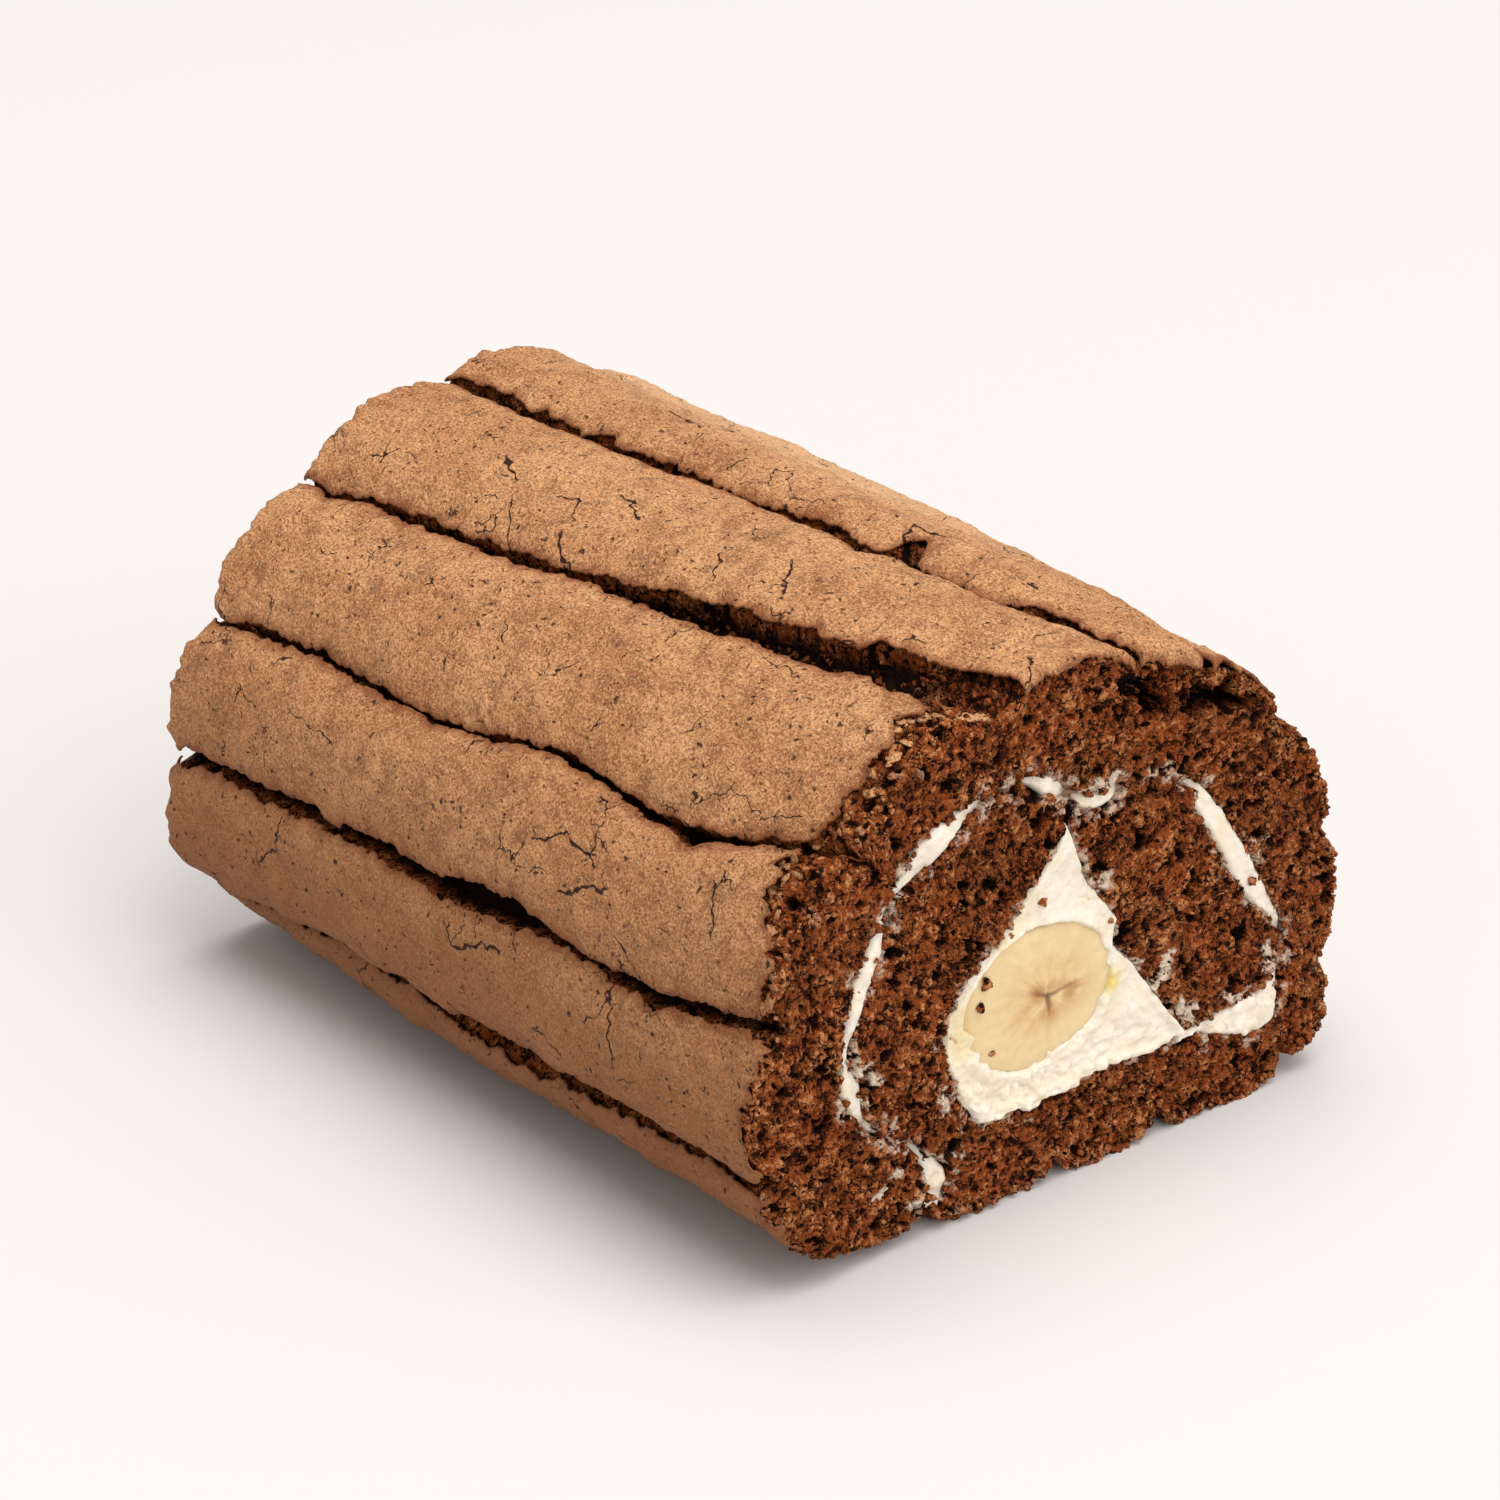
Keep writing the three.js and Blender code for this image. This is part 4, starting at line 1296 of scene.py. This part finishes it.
# How far cream laps over the banana's rim, and where: the noise that it takes, and its own unevenness.
LAP = {"reach": 1.3, "size": 4.5, "more": 0.1, "seed": 78, "begins": (0.1, 0.5)}
LAP_EDGE = {"usual": 0.7, "uneven": 0.5, "size": 1.3}
# The cream dips under the rim, and stands a little proud just outside it.
DIP = {"by": 0.9, "over": (0.6, -0.8)}
BEAD = {"by": 0.5, "begin": (-0.3, 0.3), "stop": (2.5, 0.5)}
SMEARED_OVER = 4
# Where the cream is tinted by the banana, and, in the last, warmed by painted shade where the upper lobe
# slopes back: across and up, half sizes, tilt and how strongly.
TINTS = [
    ((11.2, 31.4), (1.9, 1.9), 0, 1),
    ((-19.4, 33), (2.6, 6), 0, 0.5),
    # Painted shade: the upper lobe's slope, which slopes back into shade.
    ((-9.4, 47), (8, 1.6), 0.95, 0.3),
]

mesh, front, behind, a, b = two_sheets(HEART_STEPS, HEART_ROWS, ["smear", "tint"])
angle = 2 * np.pi * a
inside = UNDER_RIM * banana_edge(angle)
c, s = np.cos(angle), np.sin(angle)
ring = ROUND_IT * c, ROUND_IT * s
low = smooth_step(RUFFLE["up"], RUFFLE["up"] - RUFFLE["over"], BANANA["up"] + heart_edge(angle) * s)
wavy = noise_at(RUFFLE["size"], RUFFLE["seed"], *ring) + RUFFLE["more"]
ruffle = RUFFLE["by"] * low * np.maximum(0, wavy)
brink = np.maximum(heart_edge(angle) + WIDER + ruffle, inside + LEAST_RING)
reach = inside + (brink - inside) * b
across, up = BANANA["across"] + reach * c, BANANA["up"] + reach * s
off_banana = reach - banana_edge(angle)
lap = noise_at(LAP["size"], LAP["seed"], *ring) + LAP["more"]
lap = LAP["reach"] * smooth_step(*LAP["begins"], lap)
lap = lap * (LAP_EDGE["usual"] + LAP_EDGE["uneven"] * noise_at(LAP_EDGE["size"], LAP["seed"] + 1, *ring))
level = CREAM_LEVEL - DIP["by"] * smooth_step(*DIP["over"], off_banana + lap)
bead = smooth_step(*BEAD["begin"], off_banana + lap) * smooth_step(*BEAD["stop"], off_banana)
level = level + BEAD["by"] * bead + RUFFLE["stand"] * low * smooth_step(*RUFFLE["in"], brink - reach)
pull_apart(front, behind, across, up, brink - reach, level, HEART_SEED)
tint = np.zeros_like(a)
for at, half, tilt, most in TINTS:
    tint = np.maximum(tint, most * np.exp(-(off_ellipse(across, up, at, half, tilt) ** 2)))
for verts in (front, behind):
    mark(mesh, "smear", verts, np.clip(1 - (brink - reach) / SMEARED_OVER, 0, 1))
    mark(mesh, "tint", verts, tint)
make_piece(mesh, "cream_heart", "cream_filling", "cream", cream)

# %% [markdown]
# ## Banana
# The banana is a rod of flesh from cut to cut. What tells it apart is drawn on the cut by attributes:
# the direction of the rays, the share of the way out to the rim, and the dark star of the core, whose
# arms are darker flesh with seeds in it. On the tail's side the slice falls away below the cut.

# %% Banana
CORE = {"across": 2.1, "up": -0.5}
# Each arm's direction, length and depth.
ARMS = [(0.14, 8, 0.8), (1.33, 4.6, 0.5), (2.73, 4.4, 0.9), (-1.45, 4.8, 0.9), (-2.67, 6, 0.35)]
# An arm's frayed edge, its thickness at the tip and how much more at the middle, and its lobe.
ARM = {"frayed": 0.18, "size": 0.9, "seed": 93, "tip": 0.3, "thicker": 0.55, "lobe_at": 0.55, "lobe": 0.4}
FLANK = {"from": -12.2, "to": -16.5, "drop": 1.6, "uneven": 0.5, "size": 3, "seed": 94, "reach": 0.97}
SLICE = {"steps": 241, "rows": 36, "proud": 0.2, "worn": 0.5, "wear_power": 14, "star_deep": 0.3}
RIM_NOISE = ((0.045, 0.9, 90), (0.015, 0.2, 95))
DOME_NOISE = ((0.12, 6, 91), (0.08, 1.4, 92))


def core_at(across, up):
    """How deep in the core's star points lie, and how near the middle of one of its arms."""
    out_across, out_up = across - CORE["across"], up - CORE["up"]
    star, lobe = np.zeros_like(across), np.zeros_like(across)
    frayed = ARM["frayed"] * noise_at(ARM["size"], ARM["seed"], across, up)
    for way, length, depth in ARMS:
        c, s = math.cos(way), math.sin(way)
        run = np.clip(out_across * c + out_up * s, 0, length)
        away = np.hypot(out_across - run * c, out_up - run * s) + frayed
        fade = 1 - run / length
        thick, middle = ARM["tip"] + ARM["thicker"] * fade, ARM["lobe_at"] * length
        star = np.maximum(star, depth * np.exp(-((away / thick) ** 2)) * fade**0.5)
        off_middle = np.hypot(out_across - middle * c, out_up - middle * s)
        lobe = np.maximum(lobe, depth * np.exp(-((off_middle / (ARM["lobe"] * length)) ** 2)))
    return star, lobe


marks = ["ray_across", "ray_up", "reach", "core", "lobe"]
mesh, front, behind, a, b = two_sheets(SLICE["steps"], SLICE["rows"], marks)
angle = 2 * np.pi * a
c, s = np.cos(angle), np.sin(angle)
ring = banana_edge(angle) * (1 + rough(RIM_NOISE, c, s))
across = CORE["across"] + (ring * c - CORE["across"]) * b
up = CORE["up"] + (ring * s - CORE["up"]) * b
out_across, out_up = across - CORE["across"], up - CORE["up"]
out = np.hypot(out_across, out_up)
star, lobe = core_at(across, up)
uneven = FLANK["uneven"] * noise_at(FLANK["size"], FLANK["seed"], across, up)
flank = smooth_step(FLANK["from"], FLANK["to"], across + uneven)
dome = rough(DOME_NOISE, across, up) - SLICE["worn"] * b ** SLICE["wear_power"] - FLANK["drop"] * flank
level = CREAM_LEVEL + SLICE["proud"] + dome - SLICE["star_deep"] * star
for verts, side in ((front, 1), (behind, -1)):
    put(verts, side * level, across + BANANA["across"], up + BANANA["up"])
    mark(mesh, "ray_across", verts, out_across / (out + 0.01))
    mark(mesh, "ray_up", verts, out_up / (out + 0.01))
    mark(mesh, "reach", verts, np.maximum(b, FLANK["reach"] * flank))
    mark(mesh, "core", verts, star)
    mark(mesh, "lobe", verts, lobe)
make_piece(mesh, "banana_flesh", "banana", "banana", banana)

# %% [markdown]
# ## Loose crumbs and flakes
# The knife left crumbs: lumps that stand proud of the worn edge of the cut and of the floor of the
# open crack, and a few that it dragged over the filling. It broke flakes off the crust's end too.
# Each is a small ball of a few dozen faces pulled out of round, sunk half its size into what it lies
# on, and all of a kind are one mesh.

# %% Many lumps in one mesh
random = np.random.default_rng(7)
SMALL = 0.6  # a lump smaller than this gets the fewest faces
OUT_OF_ROUND = ((0.7, 1.1), (0.35, 2.6))  # by how much, and how often round the lump
UNLIKE = 0.5  # how much one lump's values differ from another's
LIFTED = 0.1


def lumps(name, spots, node, slot, finish, **values):
    """One mesh of lumps: (x, across, up) of each, its half sizes the same way, and its tilt."""
    mesh = bmesh.new()
    layers = [(mesh.verts.layers.float.new(key), value) for key, value in values.items()]
    for place, half, tilt in spots:
        detail = 1 if max(half) < SMALL else 2
        ball = bmesh.ops.create_icosphere(mesh, subdivisions=detail, radius=1.0)["verts"]
        seed, c, s = Vector(place), math.cos(tilt), math.sin(tilt)
        shade = UNLIKE * noise.noise(seed)
        for vert in ball:
            pull = 1 + sum(by * noise.noise(vert.co * often + seed) for by, often in OUT_OF_ROUND)
            out, side, rise = (pull * size * share for size, share in zip(half, vert.co))
            at = seed + Vector((out, side * c - rise * s, side * s + rise * c))
            vert.co = (at.x * MM, (at.y + SHIFT) * MM, max(at.z, 0) * MM)
            for layer, value in layers:
                vert[layer] = value + shade
    return make_piece(mesh, name, node, slot, finish)


def round_spots(places, sizes):
    """Lumps as high as they are wide, from arrays of places and sizes."""
    return [(place, (size, size, size), 0) for place, size in zip(places.tolist(), sizes.tolist())]


def on_skin(column, x, lift):
    """Points on the crumb's skin, lifted by so many millimetres, and how far crust covers them."""
    skin = skin_of_crumb(column, x)
    depth = skin["depth"] - lift
    across, up = skin["across"] + skin["inward"] * depth, skin["up"] + skin["inward_up"] * depth
    return np.stack([x, across, up], -1), skin["cover"]


# %% [markdown]
# Crumbs lie on the worn edge of the near cut, wherever no crust hangs over it.

# %% Crumbs on the edge
EDGE_CRUMBS = {"number": 620, "size": (0.3, 0.8), "turn": (0.1, 0.5), "inside": 0.9}
# Loose crumbs get no painted pore shade and a small painted highlight.
AS_CRUMB = {"node": "sponge_sheet", "slot": "sponge", "finish": crumb, "pore_shade": 0, "rise": 0.25, "smear": 0}

count = EDGE_CRUMBS["number"]
column, sizes = random.uniform(0, FINGERS, count), random.uniform(*EDGE_CRUMBS["size"], count)
turn = random.uniform(*EDGE_CRUMBS["turn"], count) * np.pi
worn = near_wear(column)
places, _ = on_skin(column, np.full(count, CUT_AT), -worn * (1 - np.cos(turn)))
round_edge = CUT_AT - worn * (1 - np.sin(turn))
places[:, 0] = np.minimum(round_edge, LENGTH / 2 - EDGE_CRUMBS["inside"] * sizes)
bare = ~overhung(column, np.ones(count))
lumps("crumbs_on_edge", round_spots(places[bare], sizes[bare]), **AS_CRUMB)

# %% [markdown]
# The widest crack has crumbs on its floor. They lie deep, so they get painted shade and less painted
# highlight than the others.

# %% Crumbs in the widest crack
CRACK_CRUMBS = {"number": 520, "size": (0.25, 0.7), "x": (-25, 72), "spread": 0.12 / 8, "bare": 0.3}

count = CRACK_CRUMBS["number"]
x, sizes = random.uniform(*CRACK_CRUMBS["x"], count), random.uniform(*CRACK_CRUMBS["size"], count)
crack = SHOWN.index("shoulder")
opening = look_up(OPENING, np.full(count, crack), x)
column = crack + random.normal(0, 1, count) * CRACK_CRUMBS["spread"] * opening
places, cover = on_skin(column, x, LIFTED)
bare = cover < CRACK_CRUMBS["bare"]
lumps("crumbs_in_crack", round_spots(places[bare], sizes[bare]), **{**AS_CRUMB, "pore_shade": 0.3, "rise": -0.1})

# %% [markdown]
# The knife pushed crumbs to both sides of the cream's band, and dragged a few over the cream and the
# banana. Those few are large enough to be placed one by one.

# %% Crumbs by the cream and over it
BESIDE_CREAM = {"number": 120, "size": (0.3, 0.75), "off": (0.6, 0.35)}
PROUD = 0.25  # how far a dragged crumb's middle stands out of the cream, as a share of its size
# Across, up and size of the crumbs that lie on the filling.
DRAGGED = [
    ((-3.9, 49.8), 0.8), ((-14.8, 39.8), 0.9), ((-15.9, 36.2), 0.85), ((-10.1, 46.3), 0.6),
    ((-13.3, 27.4), 0.6), ((-12.2, 46.8), 0.6), ((10.4, 41.9), 0.5), ((24, 16.6), 0.6),
    ((40.6, 38.8), 0.75), ((-36.4, 51), 0.5),
]

count = BESIDE_CREAM["number"]
spot = random.uniform(0, 1, count)
sizes = random.uniform(*BESIDE_CREAM["size"], count)
line_across, line_up, width, sunk, side_across, side_up = on_band(spot)
side = np.where(random.uniform(0, 1, count) < 0.5, -1, 1)
off = side * (width / 2 + random.normal(*BESIDE_CREAM["off"], count))
places = np.stack([np.full(count, CUT_AT), line_across + side_across * off, line_up + side_up * off], -1)
seen = sunk < COVERED_OVER
lumps("crumbs_by_cream", round_spots(places[seen], sizes[seen]), **AS_CRUMB)

dragged = np.array([(CREAM_LEVEL + PROUD * size, *at) for at, size in DRAGGED])
sizes = np.array([size for _, size in DRAGGED])
# Crumbs dragged over the cream get a stronger painted highlight.
lumps("crumbs_dragged", round_spots(dragged, sizes), **{**AS_CRUMB, "rise": 0.7})

# %% [markdown]
# Flakes of crust lie where the crust ends, flat on the skin with a little tilt.

# %% Flakes of crust
FLAKES = {
    "number": 190,
    "columns": (1, 8),
    "size": (0.3, 1.2),
    "longer": (0.6, 1.4),
    "thick": 0.2,
    "past": (-0.4, 2.2),
    "tilt": 0.4,
    "clear_of_cut": 1.2,
}

count = FLAKES["number"]
column, sizes = random.uniform(*FLAKES["columns"], count), random.uniform(*FLAKES["size"], count)
place = crumb_at(column, np.full(count, NEAR_X))[0]
x = crust_end(place, 1) + random.uniform(*FLAKES["past"], count)
keep = x < LENGTH / 2 - FLAKES["clear_of_cut"]
places, _ = on_skin(column[keep], x[keep], LIFTED)
skin = skin_of_crumb(column[keep], x[keep])
tilts = np.arctan2(skin["inward"], -skin["inward_up"]) + random.normal(0, FLAKES["tilt"], keep.sum())
longer = random.uniform(*FLAKES["longer"], keep.sum())
spots = [(place, (size * share, size / share, FLAKES["thick"]), tilt)
         for place, size, share, tilt in zip(places.tolist(), sizes[keep], longer, tilts)]
lumps("flakes", spots, "sponge_sheet", "crust", crust, edge=3.0, tear=FAR_OFF, tear_end=FAR_OFF)

# %% [markdown]
# ## Floor, light and camera
# The cake stands on a pale floor under soft studio light. One large lamp hangs over it, another is
# high in front of the cut, a weak warm one lights the flank from low down, and a pale world fills
# the shadows.

# %% Floor
FLOOR_REACH = 6.0


def floor_finish():
    return Finish("pale_floor", Base_Color=colour(219, 215, 212), Roughness=0.9).material


mesh = bmesh.new()
bmesh.ops.create_grid(mesh, x_segments=1, y_segments=1, size=FLOOR_REACH)
data = bpy.data.meshes.new("floor")
mesh.to_mesh(data)
mesh.free()
floor = bpy.data.objects.new("floor", data)
bpy.context.collection.objects.link(floor)
data.materials.append(floor_finish())
floor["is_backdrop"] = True
print("floor", 2 * FLOOR_REACH, "m wide")

# %% [markdown]
# Every lamp is a wide disc turned towards the cake. The wider it is, the softer its shadow.

# %% Lamps and world
AIM = Vector((0, 0, 0.04))
# Name, place, size in metres, power in watts and tint.
LAMPS = [
    ("overhead", (0, 0.05, 4.0), 4.0, 126, (1.0, 1.0, 1.0)),
    ("front", (3.0, 0.6, 2.6), 6.0, 122, (1.0, 1.0, 1.0)),
    ("side", (0.9, -3.2, 1.0), 3.0, 12, (1.0, 0.95, 0.9)),
]
WORLD = {"Color": (1.0, 0.98, 0.955, 1), "Strength": 0.44}


def lamp(name, place, size, power, tint):
    data = bpy.data.lights.new(name, "AREA")
    data.shape, data.size, data.energy, data.color = "DISK", size, power, tint
    holder = bpy.data.objects.new(name, data)
    holder.location = place
    holder.rotation_euler = (AIM - Vector(place)).to_track_quat("-Z", "Y").to_euler()
    bpy.context.collection.objects.link(holder)


for settings in LAMPS:
    lamp(*settings)
world = bpy.data.worlds.new("studio")
world.use_nodes = True
for socket, value in WORLD.items():
    world.node_tree.nodes["Background"].inputs[socket].default_value = value
bpy.context.scene.world = world
bpy.context.scene.view_settings.view_transform = "Standard"
print("lamps:", [item.name for item in bpy.data.lights])

# %% [markdown]
# The camera looks down on the near cut and the flank from the tail's side.

# %% Camera
EYE = (0.51588, -0.42029, 0.36663)
# The camera's own directions: to its right, up, and back from what it sees.
RIGHT, UP, BACK_WAY = (0.6327, 0.7744, 0.0), (-0.3362, 0.2747, 0.9008), (0.6976, -0.5699, 0.4342)
SENSOR, LENS = 36, 110.4

camera = bpy.data.objects.new("camera", bpy.data.cameras.new("camera"))
camera.data.sensor_width = SENSOR
camera.data.lens = LENS
turn = Matrix((RIGHT, UP, BACK_WAY)).transposed().to_4x4()
camera.matrix_world = Matrix.Translation(EYE) @ turn
bpy.context.collection.objects.link(camera)
bpy.context.scene.camera = camera
print("camera", round((Vector(EYE) - AIM).length, 3), "m from the cake")

# %% [markdown]
# ## Sizes
# Both boxes are kept side by side, the solids' and the visual model's, and the visual spans printed.
# The visual model has to keep the solids' size.

# %% Sizes
sizes = {"solids": solid_box, "visual": [list(corner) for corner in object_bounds()]}
print("visual spans", [round(high - low, 4) for low, high in zip(*sizes["visual"])], "m")
